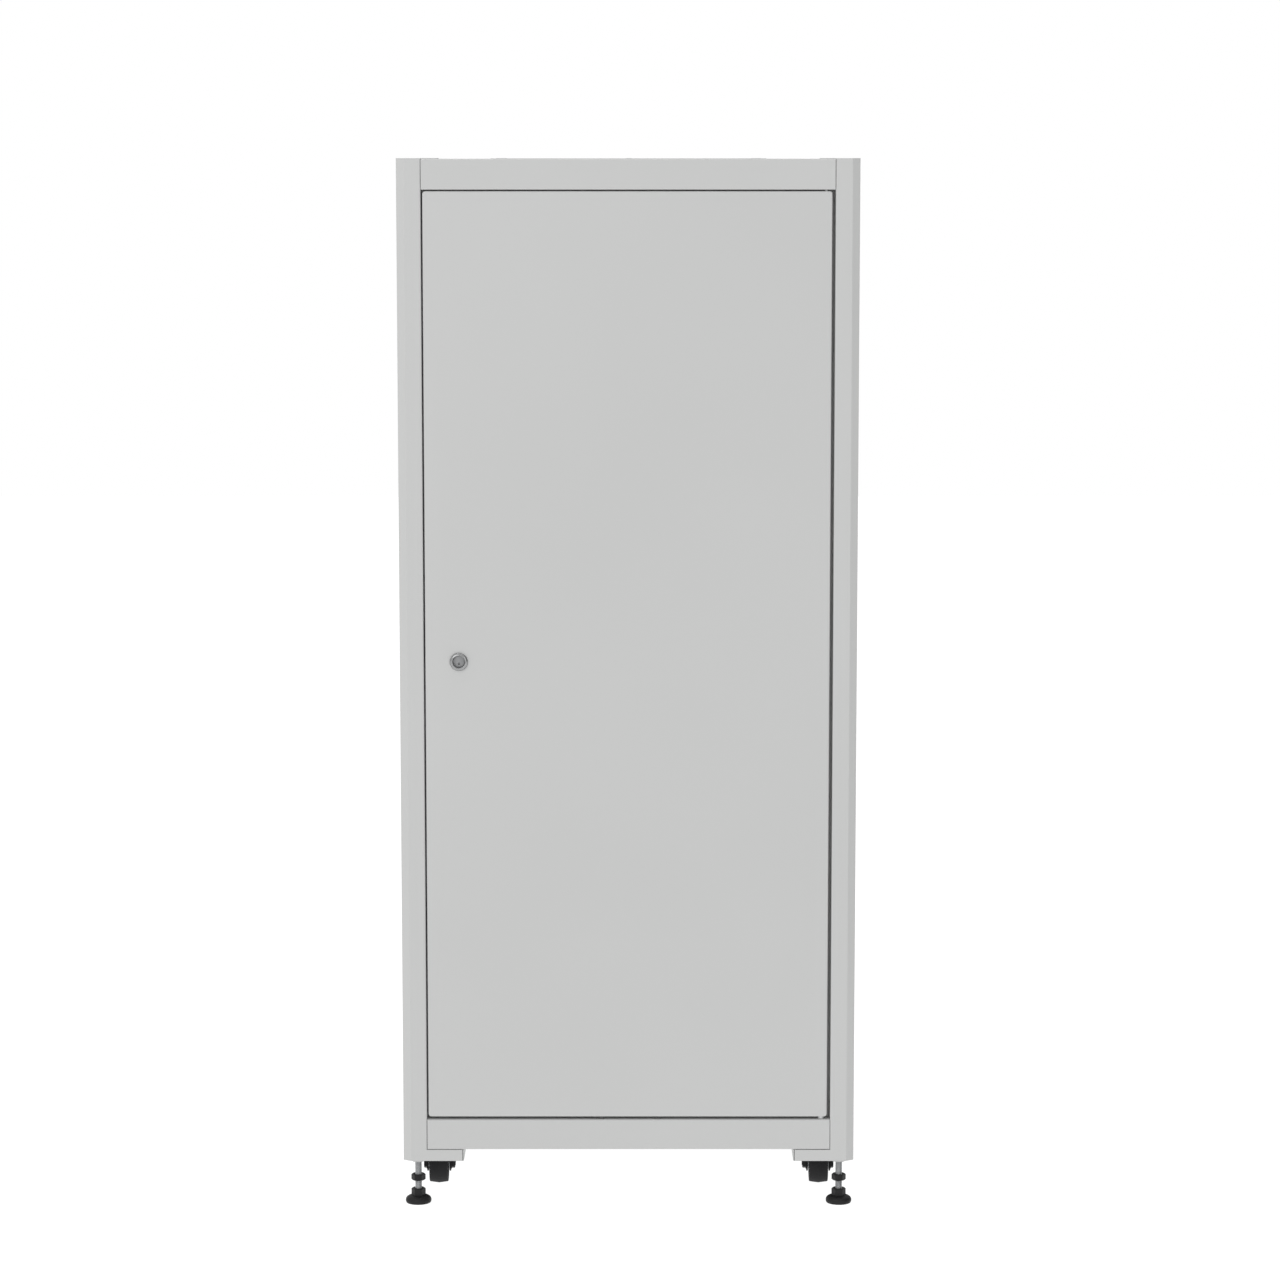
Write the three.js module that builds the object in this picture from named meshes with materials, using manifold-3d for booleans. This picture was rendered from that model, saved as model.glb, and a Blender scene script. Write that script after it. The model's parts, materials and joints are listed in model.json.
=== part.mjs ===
// Floor-standing industrial switchboard cabinet, 800 x 600 x 1850 mm, on
// castors and levelling feet. Millimetres, +Z up, door towards -Y, floor at Z = 0.
import * as THREE from "three";
import { mergeVertices } from "three/addons/utils/BufferGeometryUtils.js";
import Module from "manifold-3d";

// ---- overall size -------------------------------------------------------
const WIDTH = 800;
const DEPTH = 600;
const HALF = WIDTH / 2;
const LOCK_STANDS_OUT = 5;
const Y_FRONT = -(DEPTH + LOCK_STANDS_OUT) / 2 + LOCK_STANDS_OUT;
const Y_REAR = Y_FRONT + DEPTH;
const POST_LOW = 82;
const POST_HIGH = 1850;

// ---- sheet metal ---------------------------------------------------------
const SHEET = 2;
const PANEL_SHEET = 1.5;
const BEND_OUT = 2.6;
const BEND_STEPS = 4;
const FIT = 0.3;
const SEAM = 0.5;

// ---- frame ----------------------------------------------------------------
const POST_FACE = 42.5;
const CHAMFER = 13.5;
const CHAMFER_BACK = 9;
const SEAL_DEPTH = 26;
const SEAL_LAND = 76;
const SIDE_LAND = 22;
const SIDE_LAND_END = 62;
const RAIL_TOP_LOW = 1796;
const RAIL_TOP_HIGH = 1849;
const RAIL_LOW_LOW = 102.7;
const RAIL_LOW_HIGH = 157.4;
const LAND_HEIGHT = 33;
const SIDE_LAND_HEIGHT = 20;
const ROOF_LIP = 45;
const ROOF_LEDGE = 65;
const ROOF_STEP = 4;
const BRACKET_WIDTH = 105;
const BRACKET_END = 107.4;
const BRACKET_HIGH = 102.2;
const BRACKET_DEPTH = 74;
const FOOT_PLATE = 60;
const BOSS_R = 11.5;
const BOSS_HIGH = 6.3;
const WEB_LOW = 108.5;
const WEB_HIGH = 110.5;
const POST_INNER_CUT = 113;
const DRAIN_SLOT = [15, 9];
const DRAIN_X = 50;

// ---- roof and panels -------------------------------------------------------
const ROOF_TOP = 1847.3;
const COVER_PLATE = [485, 300, 2];
const ROOF_OPENING = [150, 120];
const ROOF_OPENING_X = 110;
const PANEL_GAP = 0.6;
const PANEL_FLANGE = 15;
const REAR_INSET = 3;

// ---- door -------------------------------------------------------------------
const DOOR_LEFT = -354.7;
const DOOR_RIGHT = 351.8;
const DOOR_LOW = 162.5;
const DOOR_HIGH = 1793.5;
const DOOR_THICK = 20;
const DOOR_FLANGE = 30;
const DOOR_CORNER = 5;
const GASKET_THICK = 5.4;
const GASKET_OUTER = 338;
const GASKET_INNER = 326;
const GASKET_Z = [174, 1779];
const HINGE_X = 341.4;
const HINGE_IN = 10;
const PIN_R = 3;
const PIN_BORE = 3.4;
const BUSH_R = 5.75;

// ---- lock -------------------------------------------------------------------
const LOCK_X = -296.2;
const LOCK_Z = 976.7;
const LOCK_RING_R = 15.75;
const LOCK_BARREL_R = 12.5;
const LOCK_HOLE_R = 12.8;
const RECESS_R = 11.2;
const ROTOR_HEAD_R = 10.8;
const ROTOR_FACE_IN = 4;
const CAM_REACH = 50;
const KEY_HOLE_R = 1.8;
const KEY_HOLE_DROP = 3.9;

// ---- levelling feet ----------------------------------------------------------
const FOOT_X = 375;
const FOOT_IN = 27;
const PAD_R = 23;
const PAD_HIGH = 13.3;
const COLLAR_HIGH = 26;
const COLLAR_FLATS = 22;
const STEM_R = 6;
const STEM_LOW = 14.3;
const STEM_HIGH = 105;
const STEM_BORE = 6.3;
const NUT_FLATS = 22;
const NUT_LOW = 41;
const NUT_HIGH = 52;

// ---- castors -------------------------------------------------------------------
const CASTOR_X = 343;
const SWIVEL_IN = 152;
const TRAIL = 25;
const REAR_WHEEL_IN = 127;
const WHEEL_R = 36.4;
const WHEEL_WIDTH = 35;
const WHEEL_Z = 45.8;
const FORK_GAP = 19;
const FORK_OUT = 21.5;
const LEG_END_R = 15.4;
const AXLE_R = 6;
const AXLE_BORE = 6.4;
const AXLE_FLATS = 19;

// ---- inside ----------------------------------------------------------------------
const PLATE_IN = 530;
const PLATE_THICK = 2.5;
const PLATE_HALF = 340;
const PLATE_Z = [215, 1735];

const wasm = await Module();
wasm.setup();

// ---- materials --------------------------------------------------------------------
const material = (color, roughness, metalness) =>
  new THREE.MeshStandardMaterial({ color, roughness, metalness });
const PAINT = () => material(0xc8c9c8, 0.55, 0.05);
const ZINC = () => material(0x9ea3a6, 0.38, 0.85);
const STEEL = () => material(0x86898c, 0.42, 0.9);
const BLACK = () => material(0x1d1d1f, 0.6, 0.0);
const RUBBER = () => material(0x161617, 0.85, 0.0);
const CHROME = () => material(0xb4b6b8, 0.28, 0.95);
const COPPER = () => material(0xb8734a, 0.35, 0.95);
const DUCT = () => material(0xa9adb0, 0.7, 0.0);
const FOAM = () => material(0x2b2b2d, 0.95, 0.0);

// ---- solids -----------------------------------------------------------------------
function toSolid(geometry) {
  const g = geometry.clone();
  for (const key of Object.keys(g.attributes)) {
    if (key !== "position") g.deleteAttribute(key);
  }
  const m = mergeVertices(g, 1e-4);
  return new wasm.Manifold(
    new wasm.Mesh({
      numProp: 3,
      vertProperties: new Float32Array(m.attributes.position.array),
      triVerts: new Uint32Array(m.index.array),
    }),
  );
}

function toGeometry(solid) {
  const mesh = solid.getMesh();
  const g = new THREE.BufferGeometry();
  g.setAttribute("position", new THREE.BufferAttribute(new Float32Array(mesh.vertProperties), 3));
  g.setIndex(new THREE.BufferAttribute(new Uint32Array(mesh.triVerts), 1));
  g.computeVertexNormals();
  return g;
}

const join = (...list) => list.reduce((a, b) => a.add(b));
const cut = (body, ...tools) => tools.reduce((a, b) => a.subtract(b), body);

function box(x0, x1, y0, y1, z0, z1) {
  const [xa, xb] = [Math.min(x0, x1), Math.max(x0, x1)];
  const [ya, yb] = [Math.min(y0, y1), Math.max(y0, y1)];
  const [za, zb] = [Math.min(z0, z1), Math.max(z0, z1)];
  const g = new THREE.BoxGeometry(xb - xa, yb - ya, zb - za);
  g.translate((xa + xb) / 2, (ya + yb) / 2, (za + zb) / 2);
  return toSolid(g);
}

// A closed outline [[a, b], ...] pushed along one axis between lo and hi.
// axis "z": (a, b) = (x, y); "y": (x, z); "x": (y, z).
function prism(points, axis, lo, hi) {
  const [l, h] = [Math.min(lo, hi), Math.max(lo, hi)];
  const shape = new THREE.Shape(points.map((p) => new THREE.Vector2(p[0], p[1])));
  const g = new THREE.ExtrudeGeometry(shape, { depth: h - l, bevelEnabled: false, steps: 1 });
  if (axis === "z") g.translate(0, 0, l);
  if (axis === "y") {
    g.rotateX(Math.PI / 2);
    g.translate(0, h, 0);
  }
  if (axis === "x") {
    g.applyMatrix4(
      new THREE.Matrix4().makeBasis(
        new THREE.Vector3(0, 1, 0),
        new THREE.Vector3(0, 0, 1),
        new THREE.Vector3(1, 0, 0),
      ),
    );
    g.translate(l, 0, 0);
  }
  return toSolid(g);
}

// A turned piece: profile [[radius, height], ...] starting and ending on the axis.
function turned(profile, segments = 40) {
  return new THREE.LatheGeometry(
    profile.map((p) => new THREE.Vector2(p[0], p[1])),
    segments,
  );
}

// A turned piece standing on Z at (x, y).
function turnedZ(x, y, profile, segments) {
  const g = turned(profile, segments);
  g.rotateX(Math.PI / 2);
  g.translate(x, y, 0);
  return toSolid(g);
}

// A turned piece lying on Y: heights are Y values.
function turnedY(x, z, profile, segments) {
  const g = turned(profile, segments);
  g.translate(x, 0, z);
  return toSolid(g);
}

// A turned piece lying on X: heights are X values.
function turnedX(y, z, profile, segments) {
  const g = turned(profile, segments);
  g.rotateZ(-Math.PI / 2);
  g.translate(0, y, z);
  return toSolid(g);
}

const rod = (r, lo, hi) => [[0, lo], [r, lo], [r, hi], [0, hi]];

function hexagon(ca, cb, flats, turn = 0) {
  const r = flats / Math.sqrt(3);
  return Array.from({ length: 6 }, (_, i) => {
    const a = turn + (i * Math.PI) / 3;
    return [ca + r * Math.cos(a), cb + r * Math.sin(a)];
  });
}

function roundedRect(a0, a1, b0, b1, r, steps = 6) {
  const out = [];
  const corners = [
    [a1 - r, b0 + r, -Math.PI / 2],
    [a1 - r, b1 - r, 0],
    [a0 + r, b1 - r, Math.PI / 2],
    [a0 + r, b0 + r, Math.PI],
  ];
  for (const [ca, cb, start] of corners) {
    for (let i = 0; i <= steps; i++) {
      const t = start + (i * Math.PI) / 2 / steps;
      out.push([ca + r * Math.cos(t), cb + r * Math.sin(t)]);
    }
  }
  return out;
}

// The closed outline of a bent sheet: a path of corners, the thickness laid on
// its left (side = 1) or its right (side = -1), each bend rounded.
function bentSheet(path, thickness, side) {
  const smooth = [path[0]];
  for (let i = 1; i < path.length - 1; i++) {
    const [p, c, n] = [path[i - 1], path[i], path[i + 1]];
    const din = [c[0] - p[0], c[1] - p[1]];
    const dout = [n[0] - c[0], n[1] - c[1]];
    const li = Math.hypot(...din);
    const lo = Math.hypot(...dout);
    const ui = [din[0] / li, din[1] / li];
    const uo = [dout[0] / lo, dout[1] / lo];
    const cross = ui[0] * uo[1] - ui[1] * uo[0];
    const angle = Math.atan2(cross, ui[0] * uo[0] + ui[1] * uo[1]);
    const r = cross * side > 0 ? BEND_OUT : BEND_OUT - thickness;
    const back = r * Math.tan(Math.abs(angle) / 2);
    const start = [c[0] - ui[0] * back, c[1] - ui[1] * back];
    const turnSide = Math.sign(angle);
    const centre = [start[0] - ui[1] * r * turnSide, start[1] + ui[0] * r * turnSide];
    const a0 = Math.atan2(start[1] - centre[1], start[0] - centre[0]);
    for (let k = 0; k <= BEND_STEPS; k++) {
      const a = a0 + (angle * k) / BEND_STEPS;
      smooth.push([centre[0] + r * Math.cos(a), centre[1] + r * Math.sin(a)]);
    }
  }
  smooth.push(path[path.length - 1]);
  const offset = smooth.map((c, i) => {
    const p = smooth[Math.max(i - 1, 0)];
    const n = smooth[Math.min(i + 1, smooth.length - 1)];
    const before = i > 0 ? [c[0] - p[0], c[1] - p[1]] : [n[0] - c[0], n[1] - c[1]];
    const after = i < smooth.length - 1 ? [n[0] - c[0], n[1] - c[1]] : before;
    const lb = Math.hypot(...before);
    const la = Math.hypot(...after);
    const nb = [(-before[1] / lb) * side, (before[0] / lb) * side];
    const na = [(-after[1] / la) * side, (after[0] / la) * side];
    const k = thickness / (1 + nb[0] * na[0] + nb[1] * na[1]);
    return [c[0] + (nb[0] + na[0]) * k, c[1] + (nb[1] + na[1]) * k];
  });
  return [...smooth, ...offset.reverse()];
}

// Cabinet corners: u runs inwards from the side face, v inwards from the front
// (or rear) face. sx is -1 left, 1 right; end is "front" or "rear".
const X = (sx, u) => sx * (HALF - u);
const Y = (end, v) => (end === "front" ? Y_FRONT + v : Y_REAR - v);
const boxUV = (sx, end, u0, u1, v0, v1, z0, z1) =>
  box(X(sx, u0), X(sx, u1), Y(end, v0), Y(end, v1), z0, z1);
const mapUV = (sx, end, points) => points.map(([u, v]) => [X(sx, u), Y(end, v)]);

// ---- scene graph helpers ---------------------------------------------------------
const cabinet = new THREE.Group();
cabinet.name = "switchboard_cabinet";

function group(parent, name, x, y, z) {
  const g = new THREE.Group();
  g.name = name;
  const at = worldOf(parent);
  g.position.set(x - at.x, y - at.y, z - at.z);
  parent.add(g);
  return g;
}

function worldOf(node) {
  const at = new THREE.Vector3();
  for (let n = node; n; n = n.parent) at.add(n.position);
  return at;
}

// Adds one solid, given in cabinet coordinates, as a mesh whose own origin is
// its parent group's origin moved to (x, y, z).
function piece(parent, name, solid, mat, x = 0, y = 0, z = 0) {
  const g = toGeometry(solid);
  const at = worldOf(parent);
  g.translate(-x, -y, -z);
  const mesh = new THREE.Mesh(g, mat);
  mesh.name = name;
  mesh.position.set(x - at.x, y - at.y, z - at.z);
  parent.add(mesh);
  return mesh;
}

// ---- corner posts with their base brackets -----------------------------------------
const postPath = [
  [SIDE_LAND, SIDE_LAND_END],
  [SIDE_LAND, POST_FACE],
  [0, POST_FACE],
  [0, CHAMFER_BACK],
  [CHAMFER, 0],
  [POST_FACE, 0],
  [POST_FACE, SEAL_DEPTH],
  [SEAL_LAND, SEAL_DEPTH],
];
const chamferRun = Math.hypot(CHAMFER, CHAMFER_BACK);
const innerChamfer = [
  CHAMFER + (SHEET * (chamferRun - CHAMFER)) / CHAMFER_BACK + 0.1,
  CHAMFER_BACK + (SHEET * (chamferRun - CHAMFER_BACK)) / CHAMFER + 0.1,
];

function post(sx, end) {
  const section = prism(
    mapUV(sx, end, bentSheet(postPath, SHEET, 1)),
    "z",
    POST_LOW,
    POST_HIGH,
  );
  const hollow = prism(
    mapUV(sx, end, [
      [SHEET, innerChamfer[1]],
      [innerChamfer[0], SHEET],
      [200, SHEET],
      [200, 200],
      [SHEET, 200],
    ]),
    "z",
    POST_LOW - 1,
    POST_INNER_CUT,
  );
  const landLow = boxUV(sx, end, POST_FACE + 0.1, 200, 10, 60, 0, RAIL_LOW_HIGH + LAND_HEIGHT + FIT);
  const landHigh = boxUV(sx, end, POST_FACE + 0.1, 200, 10, 60, RAIL_TOP_LOW - LAND_HEIGHT - FIT, 1900);
  const sideLow = boxUV(sx, end, 10, 60, POST_FACE + 0.1, 200, 0, RAIL_LOW_HIGH + SIDE_LAND_HEIGHT + FIT);
  const sideHigh = boxUV(sx, end, 10, 60, POST_FACE + 0.1, 200, RAIL_TOP_LOW - SIDE_LAND_HEIGHT - FIT, 1900);
  const cap = prism(
    mapUV(sx, end, [
      [0, CHAMFER_BACK],
      [CHAMFER, 0],
      [POST_FACE, 0],
      [POST_FACE, POST_FACE],
      [0, POST_FACE],
    ]),
    "z",
    POST_HIGH - SHEET,
    POST_HIGH,
  );
  const bracketFace = boxUV(sx, end, CHAMFER + 1, BRACKET_WIDTH, 0, SHEET, POST_LOW, BRACKET_HIGH);
  const bracketEnd = boxUV(
    sx, end, BRACKET_WIDTH - SHEET, BRACKET_END, 1.5, BRACKET_DEPTH, POST_LOW, BRACKET_HIGH,
  );
  const footPlate = prism(
    mapUV(sx, end, [
      [0, CHAMFER_BACK],
      [CHAMFER, 0],
      [FOOT_PLATE, 0],
      [FOOT_PLATE, FOOT_PLATE],
      [SHEET + 2 * FIT, FOOT_PLATE],
      [SHEET + 2 * FIT, POST_FACE - 0.1],
      [0, POST_FACE - 0.1],
    ]),
    "z",
    POST_LOW,
    POST_LOW + SHEET,
  );
  const fx = X(sx, HALF - FOOT_X);
  const fy = Y(end, FOOT_IN);
  const insert = join(
    turnedZ(fx, fy, rod(BOSS_R, POST_LOW - BOSS_HIGH, POST_LOW + 0.5)),
    turnedZ(fx, fy, rod(8, POST_LOW + 0.2, POST_LOW + 12)),
  );
  const bore = turnedZ(fx, fy, rod(STEM_BORE, POST_LOW - 12, POST_LOW + 20));
  return cut(
    join(cut(section, hollow, landLow, landHigh, sideLow, sideHigh), cap, bracketFace, bracketEnd, footPlate, insert),
    bore,
  );
}

const CORNERS = [
  ["front_left", -1, "front"],
  ["front_right", 1, "front"],
  ["rear_left", -1, "rear"],
  ["rear_right", 1, "rear"],
];
for (const [name, sx, end] of CORNERS) {
  piece(cabinet, `post_${name}`, post(sx, end), PAINT(), X(sx, 0), Y(end, 0), POST_LOW);
}

// ---- cross rails, front and rear -------------------------------------------------------
const railHalf = HALF - POST_FACE - SEAM;
const pinHole = (z0, z1) => turnedZ(HINGE_X, Y_FRONT + HINGE_IN, rod(PIN_BORE, z0, z1), 24);

function topRail(end) {
  const path = [
    [SEAL_DEPTH, RAIL_TOP_LOW - LAND_HEIGHT],
    [SEAL_DEPTH, RAIL_TOP_LOW],
    [0, RAIL_TOP_LOW],
    [0, RAIL_TOP_HIGH],
    [ROOF_LIP, RAIL_TOP_HIGH],
    [ROOF_LIP, RAIL_TOP_HIGH - ROOF_STEP],
    [ROOF_LEDGE, RAIL_TOP_HIGH - ROOF_STEP],
  ];
  const outline = bentSheet(path, SHEET, -1).map(([v, z]) => [Y(end, v), z]);
  return prism(outline, "x", -railHalf, railHalf);
}

function lowRail(end) {
  const path = [
    [SEAL_DEPTH, RAIL_LOW_HIGH + LAND_HEIGHT],
    [SEAL_DEPTH, RAIL_LOW_HIGH],
    [0, RAIL_LOW_HIGH],
    [0, RAIL_LOW_LOW],
    [40, RAIL_LOW_LOW],
  ];
  const outline = bentSheet(path, SHEET, 1).map(([v, z]) => [Y(end, v), z]);
  const body = prism(outline, "x", -railHalf, railHalf);
  const clear = HALF - BRACKET_WIDTH - 0.5;
  return cut(
    body,
    boxUV(-1, end, 0, HALF - clear, SHEET + 0.1, 80, 90, POST_INNER_CUT),
    boxUV(1, end, 0, HALF - clear, SHEET + 0.1, 80, 90, POST_INNER_CUT),
  );
}

piece(cabinet, "rail_front_top", cut(topRail("front"), pinHole(RAIL_TOP_LOW - 5, RAIL_TOP_LOW + 5)), PAINT(), 0, Y_FRONT, RAIL_TOP_LOW);
piece(cabinet, "rail_rear_top", topRail("rear"), PAINT(), 0, Y_REAR, RAIL_TOP_LOW);

const drain = (x) =>
  prism(
    roundedRect(
      x - DRAIN_SLOT[0] / 2, x + DRAIN_SLOT[0] / 2,
      Y_FRONT + 9 - DRAIN_SLOT[1] / 2, Y_FRONT + 9 + DRAIN_SLOT[1] / 2, 2, 3,
    ),
    "z", RAIL_LOW_HIGH - 6, RAIL_LOW_HIGH + 4,
  );
piece(
  cabinet, "rail_front_bottom",
  cut(lowRail("front"), pinHole(RAIL_LOW_HIGH - 5, RAIL_LOW_HIGH + 5), drain(-DRAIN_X), drain(DRAIN_X)),
  PAINT(), 0, Y_FRONT, RAIL_LOW_LOW,
);
piece(cabinet, "rail_rear_bottom", lowRail("rear"), PAINT(), 0, Y_REAR, RAIL_LOW_LOW);

// ---- side top rails ------------------------------------------------------------------------
const sideRun = [Y_FRONT + POST_FACE + FIT, Y_REAR - POST_FACE - FIT];

function sideTopRail(sx) {
  const path = [
    [SIDE_LAND, RAIL_TOP_LOW - SIDE_LAND_HEIGHT],
    [SIDE_LAND, RAIL_TOP_LOW],
    [0, RAIL_TOP_LOW],
    [0, RAIL_TOP_HIGH],
    [ROOF_LIP, RAIL_TOP_HIGH],
    [ROOF_LIP, RAIL_TOP_HIGH - ROOF_STEP],
    [ROOF_LEDGE, RAIL_TOP_HIGH - ROOF_STEP],
  ];
  const outline = bentSheet(path, SHEET, -1).map(([u, z]) => [X(sx, u), z]);
  const body = prism(outline, "y", sideRun[0], sideRun[1]);
  return cut(
    body,
    boxUV(sx, "front", POST_FACE, 120, 0, ROOF_LEDGE + FIT, 1820, 1900),
    boxUV(sx, "rear", POST_FACE, 120, 0, ROOF_LEDGE + FIT, 1820, 1900),
  );
}
piece(cabinet, "rail_left_top", sideTopRail(-1), PAINT(), -HALF, 0, RAIL_TOP_LOW);
piece(cabinet, "rail_right_top", sideTopRail(1), PAINT(), HALF, 0, RAIL_TOP_LOW);

// ---- base channels, front to back ------------------------------------------------------------
function baseChannel(sx) {
  const y0 = Y_FRONT + SHEET + FIT;
  const y1 = Y_REAR - SHEET - FIT;
  const inner = BRACKET_WIDTH - SHEET - FIT;
  const uBox = (u0, u1, a, b, z0, z1) => box(X(sx, u0), X(sx, u1), a, b, z0, z1);
  const wall = prism(
    bentSheet(
      [[0, POST_LOW], [0, RAIL_LOW_HIGH], [SIDE_LAND, RAIL_LOW_HIGH], [SIDE_LAND, RAIL_LOW_HIGH + SIDE_LAND_HEIGHT]],
      SHEET, -1,
    ).map(([u, z]) => [X(sx, u), z]),
    "y", sideRun[0], sideRun[1],
  );
  const body = join(
    wall,
    uBox(SHEET + FIT, inner, y0, y1, WEB_LOW, WEB_HIGH),
    uBox(1, inner, sideRun[0], sideRun[1], WEB_LOW, WEB_HIGH),
    uBox(inner - SHEET, inner, y0, y1, POST_LOW, WEB_HIGH),
  );
  const tools = [];
  for (const end of ["front", "rear"]) {
    tools.push(
      prism(mapUV(sx, end, [[0, 0], [17.4, 0], [0, 17.4]]), "z", 60, 130),
      turnedZ(X(sx, HALF - FOOT_X), Y(end, FOOT_IN), rod(9, 100, 120), 24),
    );
  }
  return cut(body, ...tools);
}
piece(cabinet, "base_channel_left", baseChannel(-1), PAINT(), -HALF, 0, POST_LOW);
piece(cabinet, "base_channel_right", baseChannel(1), PAINT(), HALF, 0, POST_LOW);

// ---- roof, floor, sides, rear ---------------------------------------------------------------------
const roofX = HALF - ROOF_LIP - FIT;
const roofOpening = (x) =>
  box(
    x - ROOF_OPENING[0] / 2, x + ROOF_OPENING[0] / 2,
    (Y_FRONT + Y_REAR) / 2 - ROOF_OPENING[1] / 2, (Y_FRONT + Y_REAR) / 2 + ROOF_OPENING[1] / 2,
    ROOF_TOP - 10, ROOF_TOP + 10,
  );
piece(
  cabinet, "roof_panel",
  cut(
    box(-roofX, roofX, Y_FRONT + ROOF_LIP + FIT, Y_REAR - ROOF_LIP - FIT, ROOF_TOP - SHEET, ROOF_TOP),
    roofOpening(-ROOF_OPENING_X), roofOpening(ROOF_OPENING_X),
  ),
  PAINT(), 0, (Y_FRONT + Y_REAR) / 2, ROOF_TOP,
);
piece(
  cabinet, "roof_cover_plate",
  prism(
    roundedRect(
      -COVER_PLATE[0] / 2, COVER_PLATE[0] / 2,
      (Y_FRONT + Y_REAR) / 2 - COVER_PLATE[1] / 2, (Y_FRONT + Y_REAR) / 2 + COVER_PLATE[1] / 2, 4, 4,
    ),
    "z", ROOF_TOP + FIT, ROOF_TOP + FIT + COVER_PLATE[2],
  ),
  PAINT(), 0, (Y_FRONT + Y_REAR) / 2, ROOF_TOP + FIT,
);
const floorX = HALF - BRACKET_WIDTH - 0.6;
piece(
  cabinet, "floor_panel",
  box(-floorX, floorX, Y_FRONT + SHEET + FIT, Y_REAR - SHEET - FIT, RAIL_LOW_LOW + SHEET + FIT, RAIL_LOW_LOW + 2 * SHEET + FIT),
  PAINT(), 0, (Y_FRONT + Y_REAR) / 2, RAIL_LOW_LOW + SHEET + FIT,
);

function sidePanel(sx) {
  const y0 = Y_FRONT + POST_FACE + PANEL_GAP;
  const y1 = Y_REAR - POST_FACE - PANEL_GAP;
  const z0 = RAIL_LOW_HIGH + PANEL_GAP;
  const z1 = RAIL_TOP_LOW - PANEL_GAP;
  const deep = SIDE_LAND - FIT;
  const t = PANEL_SHEET;
  const f = PANEL_FLANGE;
  const uBox = (u0, u1, a, b, c, d) => box(X(sx, u0), X(sx, u1), a, b, c, d);
  return cut(
    uBox(0, deep, y0, y1, z0, z1),
    uBox(t, deep - t, y0 + t, y1 - t, z0 + t, z1 - t),
    uBox(deep - 2 * t, deep + 5, y0 + f, y1 - f, z0 + f, z1 - f),
  );
}
piece(cabinet, "side_panel_left", sidePanel(-1), PAINT(), -HALF, 0, RAIL_LOW_HIGH);
piece(cabinet, "side_panel_right", sidePanel(1), PAINT(), HALF, 0, RAIL_LOW_HIGH);

{
  const x1 = HALF - POST_FACE - PANEL_GAP;
  const z0 = RAIL_LOW_HIGH + PANEL_GAP;
  const z1 = RAIL_TOP_LOW - PANEL_GAP;
  const deep = SEAL_DEPTH - FIT;
  const t = PANEL_SHEET;
  const f = 28;
  const vBox = (a, b, v0, v1, c, d) => box(a, b, Y("rear", v0), Y("rear", v1), c, d);
  piece(
    cabinet, "rear_panel",
    cut(
      vBox(-x1, x1, REAR_INSET, deep, z0, z1),
      vBox(-x1 + t, x1 - t, REAR_INSET + t, deep - t, z0 + t, z1 - t),
      vBox(-x1 + f, x1 - f, deep - 2 * t, deep + 5, z0 + f, z1 - f),
    ),
    PAINT(), 0, Y_REAR, RAIL_LOW_HIGH,
  );
}

// ---- hinge pins fixed in the frame --------------------------------------------------------------------
const hingeY = Y_FRONT + HINGE_IN;
piece(
  cabinet, "hinge_pin_top",
  turnedZ(HINGE_X, hingeY, [
    [0, 1774], [2.2, 1774], [PIN_R, 1775], [PIN_R, RAIL_TOP_LOW + SHEET + FIT],
    [6, RAIL_TOP_LOW + SHEET + FIT], [6, RAIL_TOP_LOW + 5], [0, RAIL_TOP_LOW + 5],
  ], 24),
  CHROME(), HINGE_X, hingeY, RAIL_TOP_LOW,
);
piece(
  cabinet, "hinge_pin_bottom",
  turnedZ(HINGE_X, hingeY, [
    [0, RAIL_LOW_HIGH - 5], [6, RAIL_LOW_HIGH - 5], [6, RAIL_LOW_HIGH - SHEET - FIT],
    [PIN_R, RAIL_LOW_HIGH - SHEET - FIT], [PIN_R, RAIL_LOW_HIGH + FIT],
    [BUSH_R, RAIL_LOW_HIGH + FIT], [BUSH_R, DOOR_LOW - FIT], [PIN_R, DOOR_LOW - FIT],
    [PIN_R, 181], [2.2, 182], [0, 182],
  ], 24),
  CHROME(), HINGE_X, hingeY, RAIL_LOW_HIGH,
);

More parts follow.
